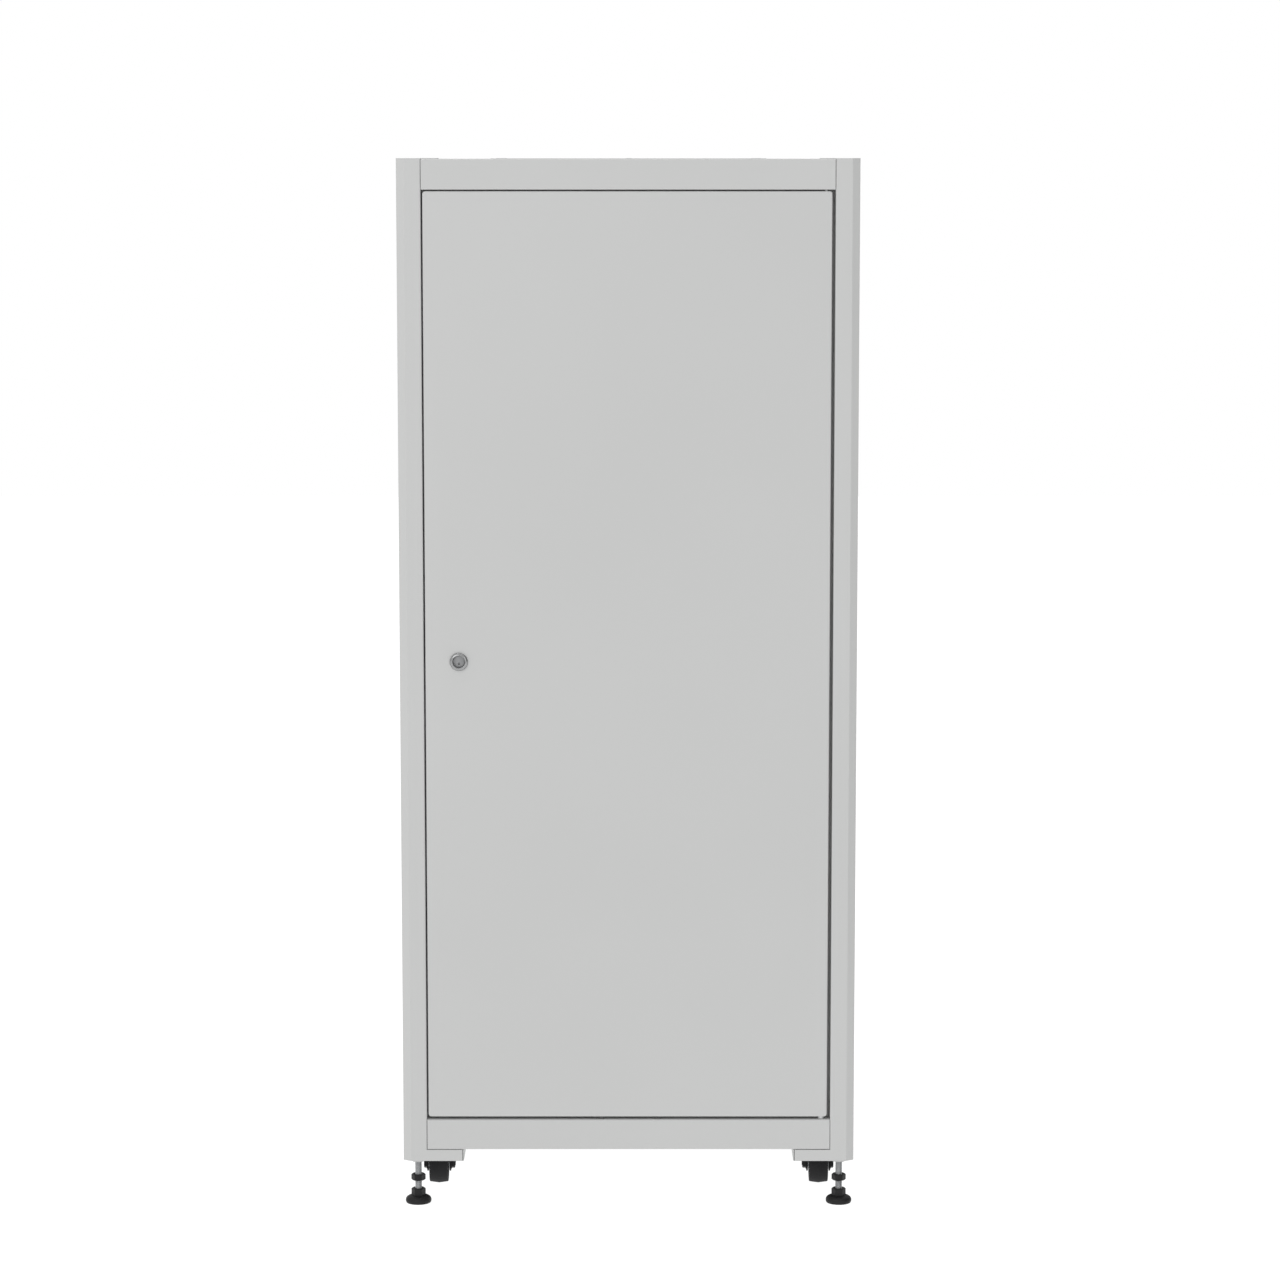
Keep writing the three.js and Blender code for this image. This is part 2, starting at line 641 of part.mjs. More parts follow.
// ---- door -----------------------------------------------------------------------------------------------
const door = group(cabinet, "door", HINGE_X, hingeY, DOOR_LOW);
{
  const shell = prism(
    roundedRect(DOOR_LEFT, DOOR_RIGHT, DOOR_LOW, DOOR_HIGH, DOOR_CORNER),
    "y", Y_FRONT, Y_FRONT + DOOR_THICK,
  );
  const hollow = prism(
    roundedRect(DOOR_LEFT + SHEET, DOOR_RIGHT - SHEET, DOOR_LOW + SHEET, DOOR_HIGH - SHEET, DOOR_CORNER - SHEET),
    "y", Y_FRONT + SHEET, Y_FRONT + DOOR_THICK - SHEET,
  );
  const mouth = prism(
    roundedRect(
      DOOR_LEFT + DOOR_FLANGE, DOOR_RIGHT - DOOR_FLANGE, DOOR_LOW + DOOR_FLANGE, DOOR_HIGH - DOOR_FLANGE, 3,
    ),
    "y", Y_FRONT + DOOR_THICK - SHEET - 2, Y_FRONT + DOOR_THICK + 5,
  );
  piece(
    door, "door_panel",
    cut(
      shell, hollow, mouth,
      turnedY(LOCK_X, LOCK_Z, rod(LOCK_HOLE_R, Y_FRONT - 5, Y_FRONT + 10)),
      pinHole(DOOR_HIGH - 10, DOOR_HIGH + 5),
      pinHole(DOOR_LOW - 5, DOOR_LOW + 10),
    ),
    PAINT(), 0, Y_FRONT, DOOR_LOW,
  );
  const g0 = Y_FRONT + DOOR_THICK + FIT;
  piece(
    door, "door_gasket",
    cut(
      prism(roundedRect(-GASKET_OUTER, GASKET_OUTER, GASKET_Z[0], GASKET_Z[1], 6), "y", g0, g0 + GASKET_THICK),
      prism(
        roundedRect(-GASKET_INNER, GASKET_INNER, GASKET_Z[0] + 12, GASKET_Z[1] - 12, 3),
        "y", g0 - 2, g0 + GASKET_THICK + 2,
      ),
    ),
    FOAM(), 0, g0, GASKET_Z[0],
  );
  const brace = (x, d) => [x, Y_FRONT + SHEET + FIT + d];
  piece(
    door, "door_stiffener",
    prism(
      [
        brace(-34, 0), brace(-19, 0), brace(-14, 11.5), brace(14, 11.5), brace(19, 0), brace(34, 0),
        brace(34, 1.5), brace(20, 1.5), brace(15.1, 13), brace(-15.1, 13), brace(-20, 1.5), brace(-34, 1.5),
      ],
      "z", DOOR_LOW + 75, DOOR_HIGH - 75,
    ),
    PAINT(), 0, Y_FRONT + SHEET + FIT, DOOR_LOW + 75,
  );
  const block = (z0, z1) =>
    cut(
      box(HINGE_X - 12, HINGE_X + 6, Y_FRONT + SHEET + FIT, Y_FRONT + DOOR_THICK - SHEET - FIT, z0, z1),
      pinHole(z0 - 5, z1 + 5),
    );
  piece(door, "hinge_block_top", block(1769, DOOR_HIGH - SHEET - FIT), BLACK(), HINGE_X, hingeY, 1780);
  piece(door, "hinge_block_bottom", block(DOOR_LOW + SHEET + FIT, 187), BLACK(), HINGE_X, hingeY, 175);

  const y = (v) => Y_FRONT + v;
  piece(
    door, "lock_housing",
    turnedY(LOCK_X, LOCK_Z, [
      [9.3, y(24)], [9.3, y(7.1)], [RECESS_R, y(7.1)], [RECESS_R, y(-4.6)], [11.7, y(-5)], [13.9, y(-4.3)],
      [LOCK_RING_R, y(-2.6)], [LOCK_RING_R, y(-FIT)], [LOCK_BARREL_R, y(-FIT)], [LOCK_BARREL_R, y(24)], [9.3, y(24)],
    ], 48),
    CHROME(), LOCK_X, Y_FRONT, LOCK_Z,
  );
  piece(
    door, "lock_nut",
    cut(
      prism(hexagon(LOCK_X, LOCK_Z, 32, Math.PI / 6), "y", y(SHEET + FIT), y(SHEET + FIT + 6)),
      turnedY(LOCK_X, LOCK_Z, rod(LOCK_BARREL_R + 0.3, y(0), y(14)), 36),
    ),
    ZINC(), LOCK_X, y(SHEET + FIT), LOCK_Z,
  );

  const lock = group(door, "lock", LOCK_X, Y_FRONT, LOCK_Z);
  piece(
    lock, "lock_rotor",
    cut(
      join(
        turnedY(LOCK_X, LOCK_Z, [
          [0, y(ROTOR_FACE_IN)], [ROTOR_HEAD_R - 0.4, y(ROTOR_FACE_IN)], [ROTOR_HEAD_R, y(ROTOR_FACE_IN + 0.4)],
          [ROTOR_HEAD_R, y(6.8)], [9, y(6.8)], [9, y(27)], [0, y(27)],
        ], 48),
        box(LOCK_X - 4, LOCK_X + 4, y(25), y(36), LOCK_Z - 4, LOCK_Z + 4),
      ),
      turnedY(LOCK_X, LOCK_Z - KEY_HOLE_DROP, rod(KEY_HOLE_R, y(-8), y(16)), 16),
    ),
    STEEL(), LOCK_X, Y_FRONT, LOCK_Z,
  );
  piece(
    lock, "lock_cam",
    cut(
      prism(
        roundedRect(LOCK_X - 10, LOCK_X + 10, LOCK_Z - CAM_REACH, LOCK_Z + 13, 6),
        "y", y(30), y(33),
      ),
      box(LOCK_X - 4.3, LOCK_X + 4.3, y(28), y(35), LOCK_Z - 4.3, LOCK_Z + 4.3),
    ),
    ZINC(), LOCK_X, y(30), LOCK_Z,
  );
}

// ---- levelling feet ----------------------------------------------------------------------------------------
for (const [name, sx, end] of CORNERS) {
  const x = X(sx, HALF - FOOT_X);
  const y = Y(end, FOOT_IN);
  const foot = group(cabinet, `foot_${name}`, x, y, 0);
  piece(
    foot, `foot_stem_${name}`,
    turnedZ(x, y, [
      [0, STEM_LOW], [STEM_R - 1, STEM_LOW], [STEM_R, STEM_LOW + 1], [STEM_R, STEM_HIGH - 1.5], [STEM_R - 1.5, STEM_HIGH], [0, STEM_HIGH],
    ], 24),
    ZINC(), x, y, STEM_LOW,
  );
  piece(
    foot, `foot_nut_${name}`,
    cut(
      prism(hexagon(x, y, NUT_FLATS, 0), "z", NUT_LOW, NUT_HIGH),
      turnedZ(x, y, rod(STEM_BORE, NUT_LOW - 2, NUT_HIGH + 2), 24),
    ),
    BLACK(), x, y, NUT_LOW,
  );
  piece(
    foot, `foot_pad_${name}`,
    cut(
      join(
        turnedZ(x, y, [
          [0, 0], [PAD_R - 1.2, 0], [PAD_R - 0.3, 1.6], [PAD_R, 4.4], [PAD_R - 0.4, 7], [PAD_R - 2.3, 9.9], [18, 11.9], [13.4, PAD_HIGH], [0, PAD_HIGH],
        ], 40),
        prism(hexagon(x, y, COLLAR_FLATS, 0), "z", PAD_HIGH - 1, COLLAR_HIGH),
      ),
      turnedZ(x, y, rod(STEM_BORE, STEM_LOW - FIT, COLLAR_HIGH + 2), 24),
    ),
    BLACK(), x, y, 0,
  );
}

// ---- castors -----------------------------------------------------------------------------------------------
function wheel(x, y) {
  const h = WHEEL_WIDTH / 2;
  return turnedX(y, WHEEL_Z, [
    [AXLE_BORE, x - h], [14, x - h], [16, x - h + 2.5], [27, x - h + 2.5], [29, x - h + 0.6], [33, x - h + 0.6],
    [34.2, x - h + 0.9], [WHEEL_R - 0.2, x - 1.5], [WHEEL_R, x], [WHEEL_R - 0.2, x + 1.5], [34.2, x + h - 0.9], [33, x + h - 0.6],
    [29, x + h - 0.6], [27, x + h - 2.5], [16, x + h - 2.5], [14, x + h], [AXLE_BORE, x + h], [AXLE_BORE, x - h],
  ], 40);
}

function axle(sx, x, y) {
  const headIn = x + sx * FORK_OUT;
  const nutIn = x - sx * FORK_OUT;
  return join(
    turnedX(y, WHEEL_Z, rod(AXLE_R, Math.min(nutIn - sx * 8.2, headIn + sx * 2), Math.max(nutIn - sx * 8.2, headIn + sx * 2)), 28),
    prism(hexagon(y, WHEEL_Z, AXLE_FLATS, Math.PI / 6), "x", headIn + sx * FIT, headIn + sx * 6),
    prism(hexagon(y, WHEEL_Z, AXLE_FLATS, Math.PI / 6), "x", nutIn - sx * FIT, nutIn - sx * 7.4),
  );
}

function legs(x, outline, yAxle) {
  const leg = (a, b) => prism(outline, "x", a, b);
  return [
    join(leg(x - FORK_OUT, x - FORK_GAP), leg(x + FORK_GAP, x + FORK_OUT)),
    turnedX(yAxle, WHEEL_Z, rod(AXLE_BORE, x - 40, x + 40), 28),
  ];
}

function legEnd(yAxle, r) {
  return Array.from({ length: 13 }, (_, i) => {
    const a = Math.PI + (i * Math.PI) / 12;
    return [yAxle + r * Math.cos(a), WHEEL_Z + r * Math.sin(a)];
  });
}

for (const [name, sx] of [["front_left", -1], ["front_right", 1]]) {
  const x = sx * CASTOR_X;
  const ys = Y_FRONT + SWIVEL_IN;
  const yw = ys - TRAIL;
  piece(
    cabinet, `castor_plate_${name}`,
    join(
      prism(roundedRect(x - 32, x + 32, ys - 38, ys + 38, 6, 4), "z", 105.5, WEB_LOW - FIT),
      turnedZ(x, ys, [
        [0, 88.3], [7.6, 88.3], [7.6, 90.4], [5, 90.4], [5, 99], [24, 99], [24, 103], [20, 106], [0, 106],
      ], 32),
    ),
    ZINC(), x, ys, WEB_LOW,
  );
  const swivel = group(cabinet, `swivel_${name}`, x, ys, WHEEL_Z);
  const outline = [
    [ys + 17, 94], [ys - 33, 94], [yw - LEG_END_R, 62], ...legEnd(yw, LEG_END_R), [ys + 17, 84],
  ];
  const [pair, axleBore] = legs(x, outline, yw);
  piece(
    swivel, `castor_fork_${name}`,
    cut(
      join(
        pair,
        box(x - FORK_OUT, x + FORK_OUT, ys - 33, ys + 24, 91, 94),
        turnedZ(x, ys, [[0, 93], [21, 93], [24, 95], [24, 98.7], [0, 98.7]], 32),
      ),
      axleBore,
      turnedZ(x, ys, rod(5.5, 85, 105), 28),
    ),
    BLACK(), x, ys, WHEEL_Z,
  );
  piece(swivel, `castor_axle_${name}`, axle(sx, x, yw), BLACK(), x, yw, WHEEL_Z);
  const spin = group(swivel, `spin_${name}`, x, yw, WHEEL_Z);
  piece(spin, `castor_wheel_${name}`, wheel(x, yw), RUBBER(), x, yw, WHEEL_Z);
}

for (const [name, sx] of [["rear_left", -1], ["rear_right", 1]]) {
  const x = sx * CASTOR_X;
  const yw = Y_REAR - REAR_WHEEL_IN;
  const outline = [
    [yw + 34, WEB_LOW - FIT], [yw - 34, WEB_LOW - FIT], [yw - 34, 98], [yw - LEG_END_R, 56], ...legEnd(yw, LEG_END_R), [yw + LEG_END_R, 56], [yw + 34, 98],
  ];
  const [pair, axleBore] = legs(x, outline, yw);
  piece(
    cabinet, `castor_fork_${name}`,
    cut(
      join(pair, prism(roundedRect(x - 32, x + 32, yw - 38, yw + 38, 6, 4), "z", 105.5, WEB_LOW - FIT)),
      axleBore,
    ),
    BLACK(), x, yw, WEB_LOW,
  );
  piece(cabinet, `castor_axle_${name}`, axle(sx, x, yw), BLACK(), x, yw, WHEEL_Z);
  const spin = group(cabinet, `spin_${name}`, x, yw, WHEEL_Z);
  piece(spin, `castor_wheel_${name}`, wheel(x, yw), RUBBER(), x, yw, WHEEL_Z);
}

// ---- mounting plate and what it carries ---------------------------------------------------------------------
{
  const v = (d) => Y_FRONT + d;
  const standoff = (x, z) => turnedY(x, z, rod(8, v(PLATE_IN + 1), v(DEPTH - SEAL_DEPTH - SHEET - FIT)), 24);
  piece(
    cabinet, "mounting_plate",
    join(
      prism(roundedRect(-PLATE_HALF, PLATE_HALF, PLATE_Z[0], PLATE_Z[1], 4, 3), "y", v(PLATE_IN), v(PLATE_IN + PLATE_THICK)),
      standoff(-331, 300), standoff(331, 300), standoff(-331, 1650), standoff(331, 1650),
    ),
    ZINC(), 0, v(PLATE_IN), PLATE_Z[0],
  );
  const hat = (z) => [
    [v(PLATE_IN - FIT), z - 13.5], [v(PLATE_IN - FIT - 6.5), z - 13.5], [v(PLATE_IN - FIT - 6.5), z - 17.5], [v(PLATE_IN - FIT - 7.5), z - 17.5],
    [v(PLATE_IN - FIT - 7.5), z - 12.5], [v(PLATE_IN - FIT - 1), z - 12.5], [v(PLATE_IN - FIT - 1), z + 12.5], [v(PLATE_IN - FIT - 7.5), z + 12.5],
    [v(PLATE_IN - FIT - 7.5), z + 17.5], [v(PLATE_IN - FIT - 6.5), z + 17.5], [v(PLATE_IN - FIT - 6.5), z + 13.5], [v(PLATE_IN - FIT), z + 13.5],
  ];
  piece(cabinet, "din_rail_upper", prism(hat(1420), "x", -270, 270), ZINC(), 0, v(PLATE_IN), 1420);
  piece(cabinet, "din_rail_lower", prism(hat(1060), "x", -270, 270), ZINC(), 0, v(PLATE_IN), 1060);

  const back = v(PLATE_IN - FIT);
  const slots = Array.from({ length: 21 }, (_, i) => {
    const x = -260 + i * 26;
    return box(x - 4, x + 4, back - 62, back - 14, 1200, 1280);
  });
  piece(
    cabinet, "cable_duct",
    cut(
      box(-276, 276, back - 60, back, 1220, 1260),
      box(-280, 280, back - 62, back - 2, 1222, 1258),
      ...slots,
    ),
    DUCT(), 0, back, 1240,
  );
  const drill = Array.from({ length: 11 }, (_, i) => turnedY(-230 + i * 46, 320, rod(4.2, back - 40, back - 20), 12));
  piece(
    cabinet, "earth_bar",
    cut(
      join(
        box(-270, 270, back - 34, back - 28, 307, 333),
        turnedY(-252, 320, rod(9, back - 29, back), 20),
        turnedY(252, 320, rod(9, back - 29, back), 20),
      ),
      ...drill,
    ),
    COPPER(), 0, back, 320,
  );
}

export default cabinet;
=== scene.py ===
import json
import math

import bmesh
import bpy
from mathutils import Matrix, Vector


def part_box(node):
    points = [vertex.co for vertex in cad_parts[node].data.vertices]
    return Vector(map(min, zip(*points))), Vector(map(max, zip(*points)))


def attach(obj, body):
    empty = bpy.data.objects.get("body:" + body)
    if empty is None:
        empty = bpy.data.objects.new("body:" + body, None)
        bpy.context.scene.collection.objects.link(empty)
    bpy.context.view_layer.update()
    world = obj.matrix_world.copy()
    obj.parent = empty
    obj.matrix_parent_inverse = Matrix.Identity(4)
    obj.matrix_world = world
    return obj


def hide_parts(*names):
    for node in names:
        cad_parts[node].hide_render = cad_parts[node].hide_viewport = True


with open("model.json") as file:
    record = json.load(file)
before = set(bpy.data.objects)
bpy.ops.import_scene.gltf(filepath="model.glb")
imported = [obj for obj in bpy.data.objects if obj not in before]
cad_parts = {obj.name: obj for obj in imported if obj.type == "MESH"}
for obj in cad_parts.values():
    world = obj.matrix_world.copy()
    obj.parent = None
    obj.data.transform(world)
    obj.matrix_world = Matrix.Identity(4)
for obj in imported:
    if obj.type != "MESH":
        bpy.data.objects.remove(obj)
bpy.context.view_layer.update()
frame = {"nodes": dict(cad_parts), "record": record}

MM = 0.001


# ---------------------------------------------------------------- node helpers
def new_material(name):
    mat = bpy.data.materials.new(name)
    mat.use_nodes = True
    nt = mat.node_tree
    bsdf = nt.nodes["Principled BSDF"]
    return mat, nt, bsdf


def coords(nt, scale=(1, 1, 1)):
    tc = nt.nodes.new("ShaderNodeTexCoord")
    mp = nt.nodes.new("ShaderNodeMapping")
    mp.inputs["Scale"].default_value = scale
    nt.links.new(tc.outputs["Object"], mp.inputs["Vector"])
    return mp.outputs["Vector"]


def noise(nt, vec, scale, detail=3.0, rough=0.5, distort=0.0):
    n = nt.nodes.new("ShaderNodeTexNoise")
    n.inputs["Scale"].default_value = scale
    n.inputs["Detail"].default_value = detail
    n.inputs["Roughness"].default_value = rough
    n.inputs["Distortion"].default_value = distort
    nt.links.new(vec, n.inputs["Vector"])
    return n.outputs["Fac"]


def remap(nt, fac, lo, hi, a=0.3, b=0.7):
    m = nt.nodes.new("ShaderNodeMapRange")
    m.inputs["From Min"].default_value = a
    m.inputs["From Max"].default_value = b
    m.inputs["To Min"].default_value = lo
    m.inputs["To Max"].default_value = hi
    nt.links.new(fac, m.inputs["Value"])
    return m.outputs["Result"]


def ramp(nt, fac, stops):
    r = nt.nodes.new("ShaderNodeValToRGB")
    el = r.color_ramp.elements
    while len(el) < len(stops):
        el.new(0.5)
    for e, (p, c) in zip(el, stops):
        e.position = p
        e.color = (*c, 1)
    nt.links.new(fac, r.inputs["Fac"])
    return r.outputs["Color"]


def bump(nt, bsdf, height, strength, distance, chain=None):
    b = nt.nodes.new("ShaderNodeBump")
    b.inputs["Strength"].default_value = strength
    b.inputs["Distance"].default_value = distance
    nt.links.new(height, b.inputs["Height"])
    if chain is not None:
        nt.links.new(chain, b.inputs["Normal"])
    nt.links.new(b.outputs["Normal"], bsdf.inputs["Normal"])
    return b.outputs["Normal"]


def scale_colour(c, k):
    return tuple(min(1.0, x * k) for x in c)


def powder_coat(name, colour, rough=0.5):
    """Fine-textured polyester powder coat: slow tone drift, fine leathery relief."""
    mat, nt, bsdf = new_material(name)
    v = coords(nt)
    drift = noise(nt, v, 2.2, 2.0)
    fine = noise(nt, v, 420.0, 3.0, 0.6)
    mixed = nt.nodes.new("ShaderNodeMath")
    mixed.operation = "MULTIPLY_ADD"
    mixed.inputs[1].default_value = 0.35
    nt.links.new(fine, mixed.inputs[0])
    nt.links.new(drift, mixed.inputs[2])
    col = ramp(nt, mixed.outputs[0], [(0.45, scale_colour(colour, 0.985)), (0.9, scale_colour(colour, 1.012))])
    nt.links.new(col, bsdf.inputs["Base Color"])
    nt.links.new(remap(nt, fine, rough - 0.04, rough + 0.05), bsdf.inputs["Roughness"])
    bsdf.inputs["Specular IOR Level"].default_value = 0.42
    peel = bump(nt, bsdf, noise(nt, v, 650.0, 2.0, 0.5), 0.05, 0.0004)
    bump(nt, bsdf, noise(nt, v, 90.0, 2.0, 0.5), 0.03, 0.0008, peel)
    return mat


def zinc_plate(name, colour, rough=0.32, brushed=(1, 1, 1), metallic=0.9):
    """Electroplated steel: cloudy passivation tone and fine directional marks."""
    mat, nt, bsdf = new_material(name)
    v = coords(nt)
    vb = coords(nt, brushed)
    cloud = noise(nt, v, 60.0, 4.0, 0.6, 0.4)
    lines = noise(nt, vb, 900.0, 3.0, 0.7)
    col = ramp(nt, cloud, [(0.3, scale_colour(colour, 0.86)), (0.7, scale_colour(colour, 1.1))])
    nt.links.new(col, bsdf.inputs["Base Color"])
    bsdf.inputs["Metallic"].default_value = metallic
    nt.links.new(remap(nt, lines, rough - 0.07, rough + 0.1), bsdf.inputs["Roughness"])
    bump(nt, bsdf, lines, 0.08, 0.0002)
    return mat


def galvanised(name, colour):
    """Hot-dip spangle: voronoi cells of slightly different tone and gloss."""
    mat, nt, bsdf = new_material(name)
    v = coords(nt)
    vor = nt.nodes.new("ShaderNodeTexVoronoi")
    vor.inputs["Scale"].default_value = 70.0
    nt.links.new(v, vor.inputs["Vector"])
    sep = nt.nodes.new("ShaderNodeSeparateColor")
    nt.links.new(vor.outputs["Color"], sep.inputs["Color"])
    col = ramp(nt, sep.outputs["Red"], [(0.0, scale_colour(colour, 0.88)), (1.0, scale_colour(colour, 1.08))])
    nt.links.new(col, bsdf.inputs["Base Color"])
    nt.links.new(remap(nt, sep.outputs["Green"], 0.33, 0.5, 0.0, 1.0), bsdf.inputs["Roughness"])
    bsdf.inputs["Metallic"].default_value = 0.85
    bump(nt, bsdf, noise(nt, v, 300.0, 2.0), 0.06, 0.0003)
    return mat


def moulded(name, colour, rough=0.5, grain=500.0, depth=0.0002, spec=0.4):
    """Moulded nylon or rubber: spark-eroded grain, handled patches a little smoother."""
    mat, nt, bsdf = new_material(name)
    v = coords(nt)
    patch = noise(nt, v, 30.0, 3.0)
    col = ramp(nt, patch, [(0.35, scale_colour(colour, 0.8)), (0.7, scale_colour(colour, 1.25))])
    nt.links.new(col, bsdf.inputs["Base Color"])
    nt.links.new(remap(nt, patch, rough - 0.06, rough + 0.1), bsdf.inputs["Roughness"])
    bsdf.inputs["Specular IOR Level"].default_value = spec
    bump(nt, bsdf, noise(nt, v, grain, 3.0, 0.6), 0.18, depth)
    return mat


def foam(name, colour):
    mat, nt, bsdf = new_material(name)
    v = coords(nt)
    cells = nt.nodes.new("ShaderNodeTexVoronoi")
    cells.inputs["Scale"].default_value = 900.0
    nt.links.new(v, cells.inputs["Vector"])
    col = ramp(nt, cells.outputs["Distance"], [(0.0, scale_colour(colour, 0.6)), (0.6, scale_colour(colour, 1.3))])
    nt.links.new(col, bsdf.inputs["Base Color"])
    bsdf.inputs["Roughness"].default_value = 0.95
    bump(nt, bsdf, cells.outputs["Distance"], 0.4, 0.0004)
    return mat


PAINT_RGB = (0.522, 0.526, 0.522)
M = {
    "paint": powder_coat("powder_coat_light_grey", PAINT_RGB),
    "zinc": zinc_plate("zinc_plated_steel", (0.46, 0.48, 0.49), 0.34),
    "bright": zinc_plate("turned_bright_steel", (0.6, 0.605, 0.61), 0.36, (1, 1, 0.05), 0.45),
    "stem": zinc_plate("threaded_zinc_steel", (0.46, 0.468, 0.475), 0.36),
    "chrome": zinc_plate("satin_chrome", (0.34, 0.343, 0.346), 0.25, (1, 1, 1), 0.9),
    # lock bore: a lighter, less metallic copy of the bezel metal, painted light that lifts the shade on the recess
    # wall
    "bore": zinc_plate("lock_bore_painted_lift", (0.42, 0.422, 0.424), 0.5, (1, 1, 1), 0.15),
    "lock_metal": zinc_plate("satin_lock_steel", (0.3, 0.304, 0.308), 0.42),
    "galv": galvanised("galvanised_sheet", (0.52, 0.54, 0.55)),
    "black_steel": moulded("black_coated_steel", (0.008, 0.008, 0.0085), 0.46, 700.0, 0.0001, 0.24),
    "nylon": moulded("black_nylon", (0.0105, 0.0105, 0.011), 0.52, 520.0, 0.0002, 0.28),
    "rubber": moulded("black_rubber", (0.011, 0.011, 0.0118), 0.68, 380.0, 0.0003, 0.3),
    "duct": moulded("grey_pvc", (0.36, 0.37, 0.38), 0.55, 600.0, 0.0001),
    "copper": zinc_plate("bright_copper", (0.78, 0.36, 0.2), 0.28, (0.05, 1, 1), 1.0),
    "foam": foam("foamed_seal", (0.016, 0.016, 0.016)),
    "dark": moulded("recess_black", (0.006, 0.006, 0.006), 0.8),
}

SLOT_LOOK = {
    "painted_sheet": "paint", "seal_foam": "foam", "black_plastic": "nylon", "bright_pin": "bright",
    "lock_chrome": "chrome", "lock_metal": "lock_metal", "zinc": "zinc", "black_steel": "black_steel",
    "wheel_rubber": "rubber", "galvanised_plate": "galv", "duct_plastic": "duct", "copper_bar": "copper",
}


# ---------------------------------------------------------------- smooth shading for the CAD solids
def shade_group(angle_deg):
    ng = bpy.data.node_groups.new("smooth_by_angle", "GeometryNodeTree")
    ng.interface.new_socket("Geometry", in_out="INPUT", socket_type="NodeSocketGeometry")
    ng.interface.new_socket("Geometry", in_out="OUTPUT", socket_type="NodeSocketGeometry")
    n_in = ng.nodes.new("NodeGroupInput")
    n_out = ng.nodes.new("NodeGroupOutput")
    faces = ng.nodes.new("GeometryNodeSetShadeSmooth")
    faces.domain = "FACE"
    edges = ng.nodes.new("GeometryNodeSetShadeSmooth")
    edges.domain = "EDGE"
    edges.inputs["Shade Smooth"].default_value = False
    angle = ng.nodes.new("GeometryNodeInputMeshEdgeAngle")
    sharp = ng.nodes.new("FunctionNodeCompare")
    sharp.data_type = "FLOAT"
    sharp.operation = "GREATER_THAN"
    sharp.inputs[1].default_value = math.radians(angle_deg)
    ng.links.new(angle.outputs["Unsigned Angle"], sharp.inputs[0])
    ng.links.new(n_in.outputs[0], faces.inputs["Geometry"])
    ng.links.new(faces.outputs["Geometry"], edges.inputs["Geometry"])
    ng.links.new(sharp.outputs["Result"], edges.inputs["Selection"])
    ng.links.new(edges.outputs["Geometry"], n_out.inputs[0])
    return ng


SMOOTH = shade_group(32)


def finish_cad(node, edge=0.35):
    """Softens a CAD solid's edges and smooths its bends; its own mesh stays as packed."""
    o = frame["nodes"][node]
    w = o.modifiers.new("weld", "WELD")
    w.merge_threshold = 1e-6
    if edge:
        b = o.modifiers.new("edge", "BEVEL")
        b.width = edge * MM
        b.segments = 2
        b.limit_method = "ANGLE"
        b.angle_limit = math.radians(38)
        b.harden_normals = False
        b.use_clamp_overlap = True
    s = o.modifiers.new("shade", "NODES")
    s.node_group = SMOOTH
    n = o.modifiers.new("normals", "WEIGHTED_NORMAL")
    n.mode = "FACE_AREA"
    n.weight = 50
    n.keep_sharp = True


def set_material(o, mat):
    if not o.material_slots:
        o.data.materials.append(mat)
    for s in o.material_slots:
        s.material = mat


slot_of = {s["node"]: s["material_slot"] for s in frame["record"]["subparts"]}
for node, o in frame["nodes"].items():
    set_material(o, M[SLOT_LOOK[slot_of[node]]])
    finish_cad(node, 0.15 if node.startswith(("post_", "rail_", "base_channel_")) else 0.35)


# ---------------------------------------------------------------- mesh helpers (millimetres in, metres out)
def make(name, bm, mat, body, smooth=34, slot=None, bevel=None, bevel_angle=30, segments=2):
    if bevel:
        bmesh.ops.remove_doubles(bm, verts=bm.verts, dist=1e-5)
        bmesh.ops.dissolve_limit(bm, angle_limit=math.radians(0.5), verts=bm.verts, edges=bm.edges)
        edges = [e for e in bm.edges if len(e.link_faces) == 2 and e.calc_face_angle(0) > math.radians(bevel_angle)]
        bmesh.ops.bevel(bm, geom=edges, offset=bevel, segments=segments, profile=0.5, affect="EDGES", clamp_overlap=True)
    bmesh.ops.recalc_face_normals(bm, faces=bm.faces)
    bmesh.ops.scale(bm, vec=(MM, MM, MM), verts=bm.verts)
    me = bpy.data.meshes.new(name)
    bm.to_mesh(me)
    bm.free()
    for p in me.polygons:
        p.use_smooth = True
    me.set_sharp_from_angle(angle=math.radians(smooth))
    o = bpy.data.objects.new(name, me)
    bpy.context.collection.objects.link(o)
    o.data.materials.append(mat)
    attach(o, body)
    return o


def rings_mesh(rings, cap0=True, cap1=True, loop=False):
    bm = bmesh.new()
    vs = [[bm.verts.new(p) for p in r] for r in rings]
    n = len(rings[0])
    pairs = list(zip(vs, vs[1:])) + ([(vs[-1], vs[0])] if loop else [])
    for a, b in pairs:
        for i in range(n):
            j = (i + 1) % n
            bm.faces.new((a[i], a[j], b[j], b[i]))
    if cap0 and not loop:
        bm.faces.new(list(reversed(vs[0])))
    if cap1 and not loop:
        bm.faces.new(vs[-1])
    return bm


def turned(axis, c, profile, segments=48, loop=False):
    """profile [(radius, height)]; axis 'x', 'y' or 'z' through c (heights are absolute)."""
    rings = []
    for r, h in profile:
        ring = []
        for i in range(segments):
            t = 2 * math.pi * i / segments
            a, b = r * math.cos(t), r * math.sin(t)
            if axis == "z":
                ring.append((c[0] + a, c[1] + b, h))
            elif axis == "y":
                ring.append((c[0] + a, h, c[1] + b))
            else:
                ring.append((h, c[0] + a, c[1] + b))
        rings.append(ring)
    return rings_mesh(rings, loop=loop)


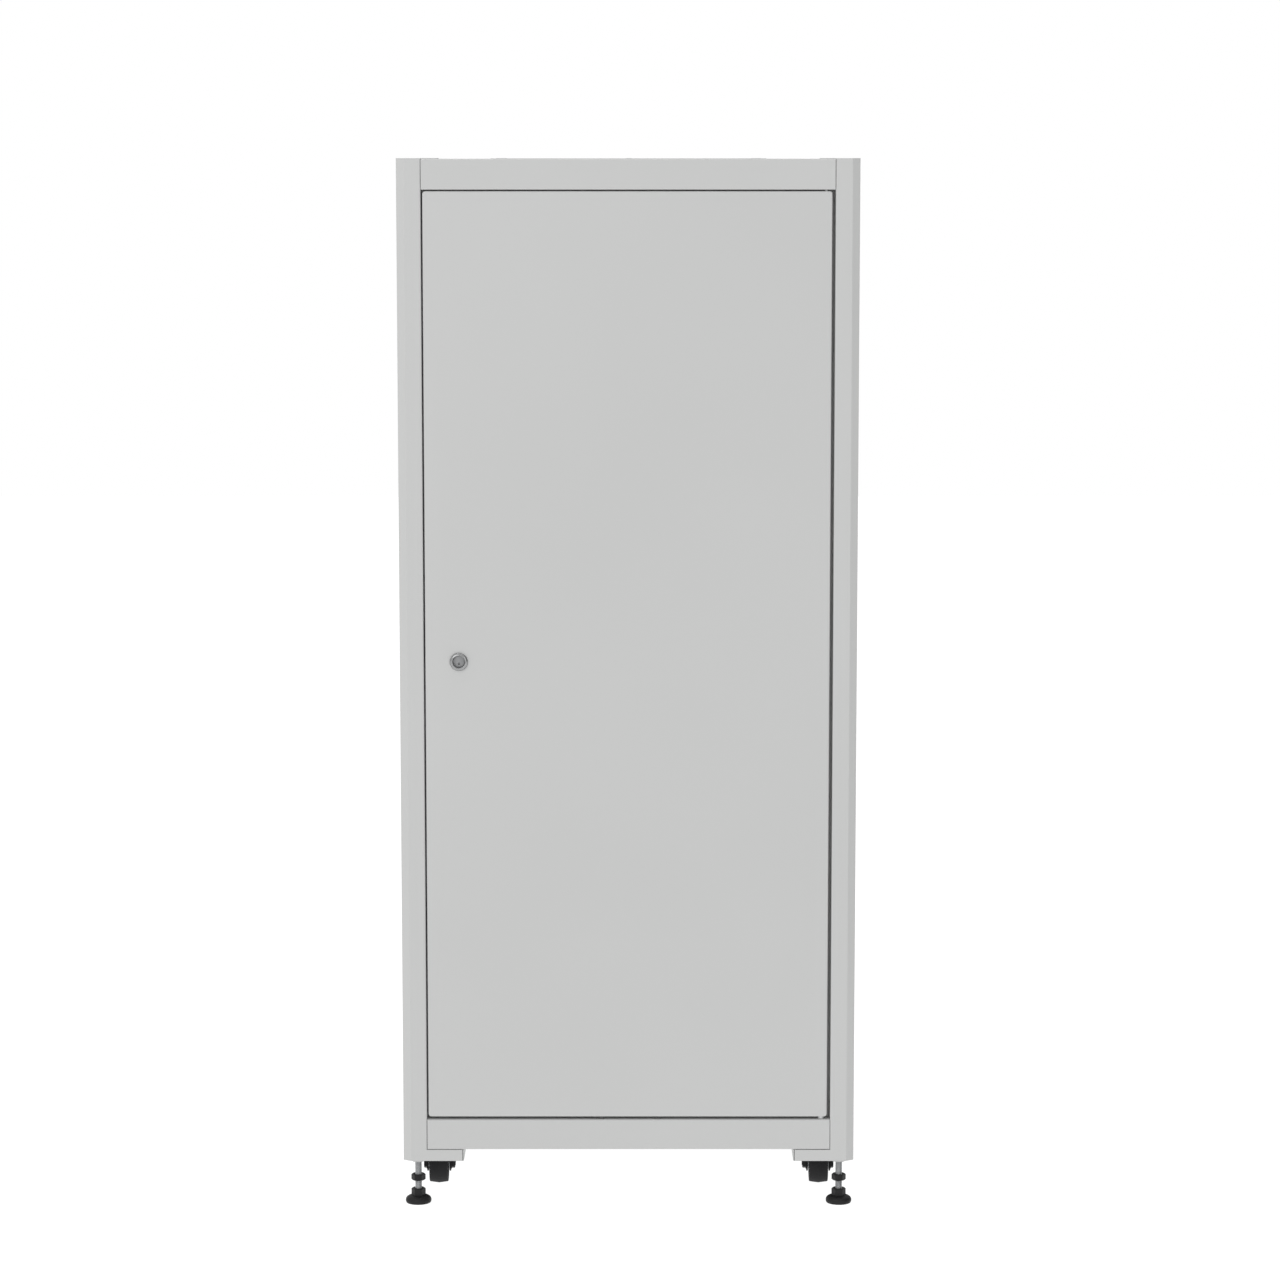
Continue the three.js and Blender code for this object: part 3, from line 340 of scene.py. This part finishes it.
def prism(axis, outline, lo, hi):
    def at(p, h):
        return {"z": (p[0], p[1], h), "y": (p[0], h, p[1]), "x": (h, p[0], p[1])}[axis]
    return rings_mesh([[at(p, lo) for p in outline], [at(p, hi) for p in outline]])


def hexagon(ca, cb, flats, turn=0.0):
    r = flats / math.sqrt(3)
    return [(ca + r * math.cos(turn + k * math.pi / 3), cb + r * math.sin(turn + k * math.pi / 3)) for k in range(6)]


def rrect(a0, a1, b0, b1, r, steps=6):
    out = []
    for ca, cb, s in ((a1 - r, b0 + r, -90), (a1 - r, b1 - r, 0), (a0 + r, b1 - r, 90), (a0 + r, b0 + r, 180)):
        for k in range(steps + 1):
            t = math.radians(s + 90 * k / steps)
            out.append((ca + r * math.cos(t), cb + r * math.sin(t)))
    return out


def boolean(o, cutter_bm, keep_mat=True):
    """Cuts a closed bmesh (millimetres) out of o and applies it."""
    bmesh.ops.recalc_face_normals(cutter_bm, faces=cutter_bm.faces)
    bmesh.ops.scale(cutter_bm, vec=(MM, MM, MM), verts=cutter_bm.verts)
    me = bpy.data.meshes.new("cutter")
    cutter_bm.to_mesh(me)
    cutter_bm.free()
    c = bpy.data.objects.new("cutter", me)
    bpy.context.collection.objects.link(c)
    m = o.modifiers.new("cut", "BOOLEAN")
    m.operation = "DIFFERENCE"
    m.solver = "EXACT"
    m.object = c
    bpy.context.view_layer.update()
    dg = bpy.context.evaluated_depsgraph_get()
    new = bpy.data.meshes.new_from_object(o.evaluated_get(dg))
    o.modifiers.remove(m)
    old = o.data
    o.data = new
    bpy.data.meshes.remove(old)
    bpy.data.objects.remove(c)
    bpy.data.meshes.remove(me)
    for p in o.data.polygons:
        p.use_smooth = True
    o.data.set_sharp_from_angle(angle=math.radians(34))
    return o


def mm_box(node):
    lo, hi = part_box(node)
    return lo * 1000, hi * 1000


# ---------------------------------------------------------------- places, all taken from the frame
post_lo, post_hi = mm_box("post_front_left")
YF = post_lo.y
door_lo, door_hi = mm_box("door_panel")
HALF = -post_lo.x
YR = mm_box("post_rear_left")[1].y


# ---------------------------------------------------------------- folded pans: door, side panels, rear panel
def pan(name, a0, a1, b0, b1, at, depth, t, flange, corner, roll, node, body, mat="paint", mouth_r=3.0):
    """A folded sheet pan. at(a, b, d) gives the point d behind its face."""
    rings = []

    def ring(inset, d, r):
        r = max(r, 0.4)
        rings.append([at(a, b, d) for a, b in rrect(a0 + inset, a1 - inset, b0 + inset, b1 - inset, r, 8)])

    n = 5
    for k in range(n + 1):
        q = math.pi / 2 * k / n
        ring(roll * (1 - math.sin(q)), roll * (1 - math.cos(q)), corner - roll * (1 - math.sin(q)))
    for k in range(n + 1):
        q = math.pi / 2 * k / n
        ring(roll * (1 - math.cos(q)), depth - roll * (1 - math.sin(q)), corner - roll * (1 - math.cos(q)))
    ring(flange - 0.3, depth, mouth_r + 0.3)
    ring(flange, depth - 0.3, mouth_r)
    ring(flange, depth - t + 0.3, mouth_r)
    ring(flange - 0.3, depth - t, mouth_r + 0.3)
    ring(t + 0.6, depth - t, max(corner - t, 1.0))
    ring(t, depth - t - 0.6, max(corner - t, 1.0))
    ring(t, t + 0.6, max(corner - t, 1.0))
    ring(t + 0.6, t, max(corner - t, 1.0))
    o = make(name, rings_mesh(rings), M[mat], body, 40, slot_of[node])
    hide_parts(node)
    return o


door = pan(
    "door_skin", door_lo.x, door_hi.x, door_lo.z, door_hi.z,
    lambda a, b, d: (a, YF + d, b), door_hi.y - door_lo.y, 2.0, 30.0, 5.0, 2.2, "door_panel", "door",
)
L_lo, L_hi = mm_box("lock_housing")
LX, LZ = (L_lo.x + L_hi.x) / 2, (L_lo.z + L_hi.z) / 2
pin_lo, pin_hi = mm_box("hinge_pin_top")
HX, HY = (pin_lo.x + pin_hi.x) / 2, (pin_lo.y + pin_hi.y) / 2
boolean(door, turned("y", (LX, LZ), [(12.8, YF - 4), (12.8, YF + 8)], 64))
boolean(door, turned("z", (HX, HY), [(3.4, door_hi.z - 6), (3.4, door_hi.z + 4)], 32))
boolean(door, turned("z", (HX, HY), [(3.4, door_lo.z - 4), (3.4, door_lo.z + 6)], 32))
for side in ("left", "right"):
    lo, hi = mm_box(f"side_panel_{side}")
    depth = hi.x - lo.x
    if side == "left":
        at = lambda a, b, d, x=lo.x: (x + d, a, b)
    else:
        at = lambda a, b, d, x=hi.x: (x - d, a, b)
    pan(f"side_skin_{side}", lo.y, hi.y, lo.z, hi.z, at, depth, 1.5, 15.0, 3.0, 1.8, f"side_panel_{side}", "frame")
lo, hi = mm_box("rear_panel")
pan(
    "rear_skin", lo.x, hi.x, lo.z, hi.z,
    lambda a, b, d, y=hi.y: (a, y - d, b), hi.y - lo.y, 1.5, 28.0, 3.0, 1.8, "rear_panel", "frame",
)

# ---------------------------------------------------------------- door seal: a half-round foamed bead
g_lo, g_hi = mm_box("door_gasket")


def bead(name, a0, a1, b0, b1, y0, width, height, mat, body):
    rings = []
    section = [(0.0, 0.0), (0.0, 0.35)]
    for k in range(1, 10):
        q = math.pi * k / 10
        section.append((0.5 - 0.5 * math.cos(q), 0.35 + 0.65 * math.sin(q)))
    section += [(1.0, 0.35), (1.0, 0.0)]
    for s, h in section:
        inset = s * width
        rings.append([(a, y0 + h * height, b) for a, b in rrect(a0 + inset, a1 - inset, b0 + inset, b1 - inset, max(14 - inset, 1.5), 8)])
    return make(name, rings_mesh(rings, loop=True), mat, body, 60, "seal_foam")


seal = bead("door_seal", g_lo.x, g_hi.x, g_lo.z, g_hi.z, g_lo.y - 0.25, 12.0, 5.6, M["foam"], "door")
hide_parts("door_gasket")

# ---------------------------------------------------------------- levelling feet
PITCH = 1.75


def threaded(name, cx, cy, z0, z1, r, body, root=0.95, seg=36, per=8, slot="zinc"):
    """A helical M12 thread with chamfered ends."""
    rings = []
    steps = int((z1 - z0) / PITCH * per)
    for j in range(steps + 1):
        z = z0 + (z1 - z0) * j / steps
        fade = min(1.0, (z - z0) / 1.6, (z1 - z) / 1.6)
        ring = []
        for i in range(seg):
            f = (z / PITCH - i / seg) % 1.0
            tri = abs(2 * f - 1)
            depth = root * min(max((tri - 0.1) / 0.78, 0.0), 1.0)
            rr = r - depth
            rr = min(rr, r - 1.25 * (1 - fade))
            t = 2 * math.pi * i / seg
            ring.append((cx + rr * math.cos(t), cy + rr * math.sin(t), z))
        rings.append(ring)
    return make(name, rings_mesh(rings), M["stem"], body, 75, slot)


def hex_nut(name, axis, c, flats, lo, hi, bore, mat, body, slot, turn=0.0, both=True, cham=1.6):
    """Hexagon with 30 degree chamfered faces and a countersunk bore."""
    seg = 96
    rc = flats / math.sqrt(3)
    ra = flats / 2

    def hex_r(t):
        k = (t - turn) % (math.pi / 3)
        return ra / math.cos(k - math.pi / 6)

    def ring(h, lim, scale=1.0):
        out = []
        for i in range(seg):
            t = 2 * math.pi * i / seg
            rr = min(hex_r(t), lim) * scale
            a, b = c[0] + rr * math.cos(t), c[1] + rr * math.sin(t)
            out.append({"z": (a, b, h), "y": (a, h, b), "x": (h, a, b)}[axis])
        return out

    s = 1 if hi > lo else -1
    rings = []
    rise = (rc - ra * 0.97) * math.tan(math.radians(30))
    steps = 4
    for k in range(steps + 1):
        lim = ra * 0.97 + (rc - ra * 0.97) * k / steps
        rings.append(ring(lo + s * rise * k / steps, lim))
    if both:
        for k in range(steps + 1):
            lim = rc - (rc - ra * 0.97) * k / steps
            rings.append(ring(hi - s * rise * (steps - k) / steps, lim))
    else:
        rings.append(ring(hi, rc))
    if bore:
        rings.append(ring(hi, bore + 0.7))
        rings.append(ring(hi - s * 0.7, bore))
        rings.append(ring(lo + s * 0.7, bore))
        rings.append(ring(lo, bore + 0.7))
        bm = rings_mesh(rings, loop=True)
    else:
        bm = rings_mesh(rings)
    return make(name, bm, mat, body, 26, slot)


CORNERS = ("front_left", "front_right", "rear_left", "rear_right")
for c in CORNERS:
    s_lo, s_hi = mm_box(f"foot_stem_{c}")
    cx, cy = (s_lo.x + s_hi.x) / 2, (s_lo.y + s_hi.y) / 2
    body = f"foot_{c}"
    stem = threaded(f"stem_thread_{c}", cx, cy, s_lo.z, s_hi.z, 6.0, body)
    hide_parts(f"foot_stem_{c}")
    n_lo, n_hi = mm_box(f"foot_nut_{c}")
    nut = hex_nut(f"locknut_hex_{c}", "z", (cx, cy), 22.0, n_lo.z, n_hi.z, 6.2, M["black_steel"], f"locknut_{c}", "black_steel")
    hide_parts(f"foot_nut_{c}")
    # pad: domed nylon foot, hexagon collar, rubber sole ring
    prof = [(21.7, 0.9), (22.3, 1.3), (22.75, 2.4), (22.97, 4.2), (22.85, 6.0), (22.2, 8.0), (20.7, 9.9), (18.4, 11.4), (15.8, 12.4), (14.1, 12.9), (13.0, 13.3)]
    dome = make(f"pad_dome_{c}", turned("z", (cx, cy), [(10.0, 0.9)] + prof + [(10.0, 13.4)], 64, loop=True), M["nylon"], body, 40, "black_plastic")
    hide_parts(f"foot_pad_{c}")
    make(
        f"pad_sole_{c}",
        turned("z", (cx, cy), [(21.2, 0.0), (21.7, 0.25), (21.7, 0.9), (10.0, 1.0), (0.01, 1.0), (0.01, 0.0)], 64), M["rubber"], body, 40, "black_plastic",
    )
    hex_nut(f"pad_collar_{c}", "z", (cx, cy), 22.0, 26.0, 11.5, 6.25, M["nylon"], body, "black_plastic", both=False)

# ---------------------------------------------------------------- castors
WZ = 45.8


def castor(c, wheel_body, fork_body, swivelling):
    w_lo, w_hi = mm_box(f"castor_wheel_{c}")
    x, y, z = (w_lo.x + w_hi.x) / 2, (w_lo.y + w_hi.y) / 2, (w_lo.z + w_hi.z) / 2
    h = (w_hi.x - w_lo.x) / 2
    R = (w_hi.z - w_lo.z) / 2
    # tyre with a crowned tread, hub with web and ribs
    half = [(29.2, h - 1.6), (31.0, h - 0.75), (33.2, h - 0.85), (33.95, h - 1.15), (34.25, h - 1.8), (34.67, 13.0), (35.33, 8.0), (35.93, 3.5), (36.22, 1.2)]
    prof = [(r, x - d) for r, d in half] + [(R, x)] + [(r, x + d) for r, d in reversed(half)]
    prof += [(28.6, x + h - 3.0), (28.6, x - h + 3.0)]
    tyre = make(f"tyre_{c}", turned("x", (y, z), prof, 96, loop=True), M["rubber"], wheel_body, 38, "wheel_rubber")
    hub = [
        (6.4, x - h), (11.0, x - h), (12.4, x - h + 0.6), (13.0, x - h + 2.0), (13.4, x - 7.0), (15.0, x - 5.0), (25.0, x - 5.0),
        (26.6, x - 6.6), (27.0, x - h + 2.6), (27.6, x - h + 1.9), (28.5, x - h + 1.9), (28.6, x - h + 3.0),
    ]
    hub += [(r, 2 * x - v) for r, v in reversed(hub)]
    hub_o = make(f"wheel_hub_{c}", turned("x", (y, z), hub, 72, loop=True), M["nylon"], wheel_body, 34, "wheel_rubber")
    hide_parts(f"castor_wheel_{c}")
    for k in range(6):
        t = math.pi / 3 * k
        for sgn in (-1, 1):
            bm = bmesh.new()
            a = [(12.6, -0.9), (27.2, -0.7), (27.2, 0.7), (12.6, 0.9)]
            pts = [(y + r * math.cos(t) - q * math.sin(t), z + r * math.sin(t) + q * math.cos(t)) for r, q in a]
            lo_x, hi_x = sorted((x + sgn * 4.6, x + sgn * (h - 3.4)))
            bm.free()
            make(f"hub_rib_{c}_{k}_{'a' if sgn < 0 else 'b'}", prism("x", pts, lo_x, hi_x), M["nylon"], wheel_body, 34, "wheel_rubber", bevel=0.25)
    # axle: washers and nuts over the CAD axle
    a_lo, a_hi = mm_box(f"castor_axle_{c}")
    outer = -1 if x < 0 else 1
    head_in = x + outer * 21.5
    nut_in = x - outer * 21.5
    bolt = make(f"axle_bolt_{c}", turned("x", (y, z), [(5.9, nut_in - outer * 8.0), (5.2, nut_in - outer * 8.2)][::-1] + [(5.95, nut_in - outer * 7.6), (5.95, head_in)], 40), M["black_steel"], fork_body, 34, "black_steel")
    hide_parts(f"castor_axle_{c}")
    hex_nut(f"axle_head_{c}", "x", (y, z), 18.0, head_in + outer * 5.9, head_in + outer * 1.3, 0, M["black_steel"], fork_body, "black_steel", turn=math.pi / 6, both=False)
    hex_nut(f"axle_nut_{c}", "x", (y, z), 18.0, nut_in - outer * 7.3, nut_in - outer * 1.3, 6.0, M["black_steel"], fork_body, "black_steel", turn=math.pi / 6, both=False)
    for tag, v0, v1 in (("head", head_in + outer * 0.05, head_in + outer * 1.3), ("nut", nut_in - outer * 1.3, nut_in - outer * 0.05)):
        make(f"axle_washer_{tag}_{c}", turned("x", (y, z), [(6.2, v0), (11.5, v0), (11.8, (v0 + v1) / 2), (11.5, v1), (6.2, v1)], 40, loop=True), M["black_steel"], fork_body, 34, "black_steel")
    for tag, sg in (("a", -1), ("b", 1)):
        v0, v1 = sorted((x + sg * 17.55, x + sg * 18.95))
        make(f"axle_spacer_{tag}_{c}", turned("x", (y, z), [(6.2, v0), (8.4, v0), (8.4, v1), (6.2, v1)], 32, loop=True), M["zinc"], fork_body, 34, "zinc")


for c in CORNERS:
    front = c.startswith("front")
    castor(c, f"wheel_{c}", f"swivel_{c}" if front else "frame", front)

# ---------------------------------------------------------------- quarter-turn lock
F = YF
bezel = make(
    "lock_bezel",
    turned("y", (LX, LZ), [
        (9.3, F + 24), (9.3, F + 7.1), (11.2, F + 7.1), (11.2, F - 4.4), (11.35, F - 4.8), (11.7, F - 4.98), (12.1, F - 4.93), (13.0, F - 4.62),
        (14.0, F - 4.18), (14.9, F - 3.5), (15.5, F - 2.8), (15.75, F - 2.1), (15.75, F - 0.3), (15.6, F - 0.05), (12.5, F - 0.05), (12.5, F + 24),
    ], 96, loop=True), M["chrome"], "door", 40, "lock_chrome",
)
# the recess wall inside the bezel gets the lighter, less metallic copy of the bezel metal: painted light that lifts
# the shade in the recess
bezel.data.materials.append(M["bore"])
for poly in bezel.data.polygons:
    if math.hypot(poly.center.x / MM - LX, poly.center.z / MM - LZ) < 11.28 and -4.7 < poly.center.y / MM - F < 7.2:
        poly.material_index = 1
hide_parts("lock_housing")
rotor = make(
    "lock_plug",
    turned("y", (LX, LZ), [
        (0.02, F + 4.0), (6.0, F + 4.0), (9.9, F + 4.03), (10.4, F + 4.12), (10.7, F + 4.35), (10.8, F + 4.7),
        (10.8, F + 6.8), (9.0, F + 6.85), (9.0, F + 27), (0.02, F + 27),
    ], 96), M["lock_metal"], "lock", 40, "lock_metal",
)
boolean(rotor, turned("y", (LX, LZ - 3.9), [(1.8, F - 8), (1.8, F + 16)], 40))
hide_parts("lock_rotor")
make("lock_square", prism("y", rrect(LX - 4, LX + 4, LZ - 4, LZ + 4, 0.5, 2), F + 26.8, F + 35.5), M["lock_metal"], "lock", 34, "lock_metal", bevel=0.3)
make("lock_key_pin", turned("y", (LX, LZ - 3.9), [(0.02, F + 6.0), (1.05, F + 6.0), (1.2, F + 6.2), (1.2, F + 15.9), (0.02, F + 15.9)], 28), M["lock_metal"], "lock", 40, "lock_metal")
hex_nut("cam_screw", "y", (LX, LZ), 10.0, F + 40.0, F + 36.3, 0, M["zinc"], "lock", "zinc", turn=0.2, both=False)
make("cam_washer", turned("y", (LX, LZ), [(0.02, F + 35.5), (7.6, F + 35.5), (8.0, F + 35.9), (7.6, F + 36.3), (0.02, F + 36.3)], 40), M["zinc"], "lock", 40, "zinc")
n_lo, n_hi = mm_box("lock_nut")
nutp = hex_nut("lock_backnut", "y", (LX, LZ), 32.0, n_hi.y, n_lo.y, 12.7, M["zinc"], "door", "zinc", turn=math.pi / 6)
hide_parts("lock_nut")


# ---------------------------------------------------------------- fasteners
def frame_of(axis, sign):
    """Maps (a, b, out) to a point: out runs along the signed axis."""
    if axis == "y":
        return lambda c, a, b, h: (c[0] + a, c[1] + sign * h, c[2] + b)
    if axis == "z":
        return lambda c, a, b, h: (c[0] + a, c[1] + b, c[2] + sign * h)
    return lambda c, a, b, h: (c[0] + sign * h, c[1] + a, c[2] + b)


def pan_head(name, c, axis, sign, r, h, mat, body, slot, recess=True, turn=0.0):
    """Domed screw head standing h off its seat, with a cross recess."""
    at = frame_of(axis, sign)
    prof = [(0.02, 0.0), (r, 0.0), (r, h * 0.45), (r * 0.96, h * 0.68), (r * 0.84, h * 0.86), (r * 0.6, h * 0.97), (r * 0.3, h), (0.02, h)]
    rings = []
    for rr, hh in prof:
        rings.append([at(c, rr * math.cos(2 * math.pi * i / 28), rr * math.sin(2 * math.pi * i / 28), hh) for i in range(28)])
    o = make(name, rings_mesh(rings), mat, body, 44, slot)
    if recess:
        arm, wd = r * 0.56, r * 0.13
        for q in (0, 1):
            t = turn + q * math.pi / 2
            ring0, ring1 = [], []
            for a, b in ((-arm, -wd), (arm, -wd), (arm, wd), (-arm, wd)):
                x, y = a * math.cos(t) - b * math.sin(t), a * math.sin(t) + b * math.cos(t)
                ring0.append(at(c, x * 0.7, y * 0.8, h * 0.35))
                ring1.append(at(c, x * 1.15, y * 1.1, h * 1.3))
            boolean(o, rings_mesh([ring0, ring1]))
    return o


def hex_head(name, c, axis, sign, flats, h, mat, body, slot, washer=True, turn=0.0):
    k = {"x": 0, "y": 1, "z": 2}[axis]
    others = [i for i in range(3) if i != k]
    c2 = (c[others[0]], c[others[1]])
    base = c[k] + sign * (1.0 if washer else 0.0)
    hex_nut(name, axis, c2, flats, base + sign * h, base, 0, mat, body, slot, turn=turn, both=False)
    if washer:
        make(name + "_washer", turned(axis, c2, [(0.02, c[k]), (flats * 0.66, c[k]), (flats * 0.68, c[k] + sign * 0.5), (flats * 0.66, base), (0.02, base)], 36), mat, body, 40, slot)


r_lo, r_hi = mm_box("rear_panel")
k = 0
for z in (r_lo.z + 14, r_lo.z + 420, (r_lo.z + r_hi.z) / 2, r_hi.z - 420, r_hi.z - 14):
    for x in (r_lo.x + 13, r_hi.x - 13):
        pan_head(f"rear_screw_{k}", (x, r_hi.y, z), "y", 1, 5.2, 2.5, M["zinc"], "frame", "zinc", turn=0.4 * k)
        k += 1
for x in (-120, 120):
    for z in (r_lo.z + 14, r_hi.z - 14):
        pan_head(f"rear_screw_{k}", (x, r_hi.y, z), "y", 1, 5.2, 2.5, M["zinc"], "frame", "zinc", turn=0.4 * k)
        k += 1

c_lo, c_hi = mm_box("roof_cover_plate")
k = 0
for x in (c_lo.x + 14, 0, c_hi.x - 14):
    for y in (c_lo.y + 12, c_hi.y - 12):
        pan_head(f"roof_screw_{k}", (x, y, c_hi.z), "z", 1, 5.0, 0.36, M["zinc"], "frame", "zinc", recess=False)
        k += 1

# dark foam strips behind the joints between posts, rails and brackets: painted shade, a dark material put in the seams
# so they read dark where only shade falls
for c, sx in (("left", -1), ("right", 1)):
    for end, y0, sy in (("front", YF, 1), ("rear", YR, -1)):
        for tag, u0, u1, v0, v1, z0, z1 in (
            ("top", 42.55, 46.0, 2.06, 3.5, 1799.5, 1845.5), ("low", 42.55, 46.0, 2.06, 3.5, 113.3, 154.0),
            ("foot", 38.0, 46.0, 2.04, 2.24, 98.0, 112.6), ("base", 46.1, 102.8, 2.04, 2.24, 98.0, 108.2),
            ("end", 105.06, 105.8, 0.7, 1.44, 82.4, 101.8),
        ):
            xs, ys = sorted((sx * (HALF - u0), sx * (HALF - u1))), sorted((y0 + sy * v0, y0 + sy * v1))
            make(f"seam_tape_{end}_{c}_{tag}", prism("z", [(xs[0], ys[0]), (xs[1], ys[0]), (xs[1], ys[1]), (xs[0], ys[1])], z0, z1), M["foam"], "frame", 34, "seal_foam")

# castor fixings: four bolts in each plate
for c in CORNERS:
    front = c.startswith("front")
    p_lo, p_hi = mm_box(f"castor_plate_{c}" if front else f"castor_fork_{c}")
    w_lo, w_hi = mm_box(f"castor_wheel_{c}")
    x = (w_lo.x + w_hi.x) / 2
    y = (p_lo.y + p_hi.y) / 2
    k = 0
    for dx in (-26.5, 26.5):
        for dy in (-31, 31):
            hex_head(f"castor_bolt_{c}_{k}", (x + dx, y + dy, 105.5), "z", -1, 8.0, 4.2, M["zinc"], "frame", "zinc", washer=True, turn=0.3 * k)
            k += 1

# mounting plate nuts, rail screws, earth bar screws
m_lo, m_hi = mm_box("mounting_plate")
k = 0
for x in (-331, 331):
    for z in (300, 1650):
        hex_head(f"plate_nut_{k}", (x, m_lo.y, z), "y", -1, 13.0, 6.5, M["zinc"], "frame", "zinc", turn=0.5 * k)
        k += 1
for tag in ("upper", "lower"):
    d_lo, d_hi = mm_box(f"din_rail_{tag}")
    z = (d_lo.z + d_hi.z) / 2
    for i, x in enumerate((-250, 0, 250)):
        pan_head(f"din_screw_{tag}_{i}", (x, d_hi.y - 1.0, z), "y", -1, 4.4, 2.8, M["zinc"], "frame", "zinc", turn=0.7 * i)
e_lo, e_hi = mm_box("earth_bar")
for i in range(11):
    x = -230 + i * 46
    hex_head(f"earth_screw_{i}", (x, e_lo.y, 320), "y", -1, 10.0, 4.5, M["zinc"], "frame", "zinc", turn=0.37 * i)
t_lo, t_hi = mm_box("cable_duct")
lid = make(
    "duct_lid",
    prism("x", [
        (t_lo.y - 0.4, t_lo.z + 0.4), (t_lo.y + 5.0, t_lo.z + 0.4 - 1.6), (t_lo.y + 5.2, t_lo.z - 0.3 - 0.6), (t_lo.y - 1.9, t_lo.z - 1.6),
        (t_lo.y - 1.9, t_hi.z + 1.6), (t_lo.y + 5.2, t_hi.z + 0.9), (t_lo.y + 5.0, t_hi.z + 0.25), (t_lo.y - 0.4, t_hi.z + 0.2),
    ], t_lo.x + 0.5, t_hi.x - 0.5), M["duct"], "frame", 34, "duct_plastic", bevel=0.15,
)
# door stud for the earth strap, with its nut
make("door_earth_stud", turned("y", (LX + 40, door_lo.z + 60), [(0.02, F + 2.0), (4.0, F + 2.0), (4.0, F + 16.5), (3.3, F + 17.2), (0.02, F + 17.2)], 32), M["zinc"], "door", 40, "zinc")
hex_nut("door_earth_nut", "y", (LX + 40, door_lo.z + 60), 13.0, F + 9.0, F + 3.2, 3.9, M["zinc"], "door", "zinc")

# ---------------------------------------------------------------- camera: front view, slightly from above
PITCH_DOWN = math.radians(7.22)
cam_data = bpy.data.cameras.new("camera")
cam = bpy.data.objects.new("camera", cam_data)
bpy.context.collection.objects.link(cam)
cam_data.sensor_width = 36.0
cam_data.sensor_fit = "HORIZONTAL"
cam_data.lens = 3804.0 / 1280.0 * 36.0
cam_data.clip_start = 0.05
cam_data.clip_end = 60.0
cam.location = (0.0204, YF * MM - 6.590, 1.850)
cam.rotation_euler = (math.radians(90) - PITCH_DOWN, 0, 0)
bpy.context.scene.camera = cam

# ---------------------------------------------------------------- floor, light
fl_bm = bmesh.new()
bmesh.ops.create_grid(fl_bm, x_segments=1, y_segments=1, size=14.0)
fl_me = bpy.data.meshes.new("floor")
fl_bm.to_mesh(fl_me)
fl_bm.free()
floor = bpy.data.objects.new("floor", fl_me)
floor.location = (0, 0, -0.0004)
bpy.context.collection.objects.link(floor)
fmat, fnt, fb = new_material("floor_pale")
fb.inputs["Base Color"].default_value = (0.22, 0.22, 0.22, 1)
fb.inputs["Roughness"].default_value = 0.9
fb.inputs["Specular IOR Level"].default_value = 0.0
fb.inputs["Emission Color"].default_value = (1, 1, 1, 1)
fb.inputs["Emission Strength"].default_value = 0.95
floor.data.materials.append(fmat)

world = bpy.data.worlds.new("studio")
bpy.context.scene.world = world
world.use_nodes = True
wn = world.node_tree
wn.nodes.clear()
out = wn.nodes.new("ShaderNodeOutputWorld")
bg_light = wn.nodes.new("ShaderNodeBackground")
bg_white = wn.nodes.new("ShaderNodeBackground")
mix = wn.nodes.new("ShaderNodeMixShader")
lp = wn.nodes.new("ShaderNodeLightPath")
bg_white.inputs["Color"].default_value = (1, 1, 1, 1)
bg_white.inputs["Strength"].default_value = 1.0
bg_light.inputs["Color"].default_value = (1, 1, 1, 1)
bg_light.inputs["Strength"].default_value = 0.70
wtc = wn.nodes.new("ShaderNodeTexCoord")
wsep = wn.nodes.new("ShaderNodeSeparateXYZ")
wmap = wn.nodes.new("ShaderNodeMapRange")
wmap.inputs["From Min"].default_value = -1.0
wmap.inputs["From Max"].default_value = 1.0
wramp = wn.nodes.new("ShaderNodeValToRGB")
while len(wramp.color_ramp.elements) < 5:
    wramp.color_ramp.elements.new(0.5)
for e, (pos, v) in zip(wramp.color_ramp.elements, ((0.0, 1.08), (0.5, 1.03), (0.76, 0.92), (0.86, 0.3), (0.95, 0.07))):
    e.position = pos
    e.color = (v, v, v, 1)
wn.links.new(wtc.outputs["Generated"], wsep.inputs["Vector"])
wn.links.new(wsep.outputs["X"], wmap.inputs["Value"])
wn.links.new(wmap.outputs["Result"], wramp.inputs["Fac"])
wn.links.new(wramp.outputs["Color"], bg_light.inputs["Color"])
wmap_z = wn.nodes.new("ShaderNodeMapRange")
wmap_z.inputs["From Min"].default_value = -1.0
wmap_z.inputs["From Max"].default_value = 1.0
wmap_z.inputs["To Min"].default_value = 0.527
wmap_z.inputs["To Max"].default_value = 0.823
wn.links.new(wsep.outputs["Z"], wmap_z.inputs["Value"])
wn.links.new(wmap_z.outputs["Result"], bg_light.inputs["Strength"])
wn.links.new(lp.outputs["Is Camera Ray"], mix.inputs["Fac"])
wn.links.new(bg_light.outputs[0], mix.inputs[1])
wn.links.new(bg_white.outputs[0], mix.inputs[2])
wn.links.new(mix.outputs[0], out.inputs["Surface"])


def area(name, loc, target, size, power):
    d = bpy.data.lights.new(name, "AREA")
    d.shape = "RECTANGLE"
    d.size, d.size_y = size
    d.energy = power
    o = bpy.data.objects.new(name, d)
    o.location = loc
    o.rotation_euler = (Vector(target) - Vector(loc)).to_track_quat("-Z", "Y").to_euler()
    bpy.context.collection.objects.link(o)
    return o


area("key", (-2.6, -5.2, 3.6), (0, 0, 0.9), (3.0, 3.0), 60)
area("fill", (3.0, -5.2, 2.2), (0, 0, 0.9), (2.5, 3.0), 26)
area("top", (0, 0.4, 4.2), (0, 0, 0.9), (3.0, 3.0), 40)

scene = bpy.context.scene
scene.view_settings.view_transform = "Standard"
scene.view_settings.look = "None"
scene.view_settings.exposure = 0.0
scene.view_settings.gamma = 1.0
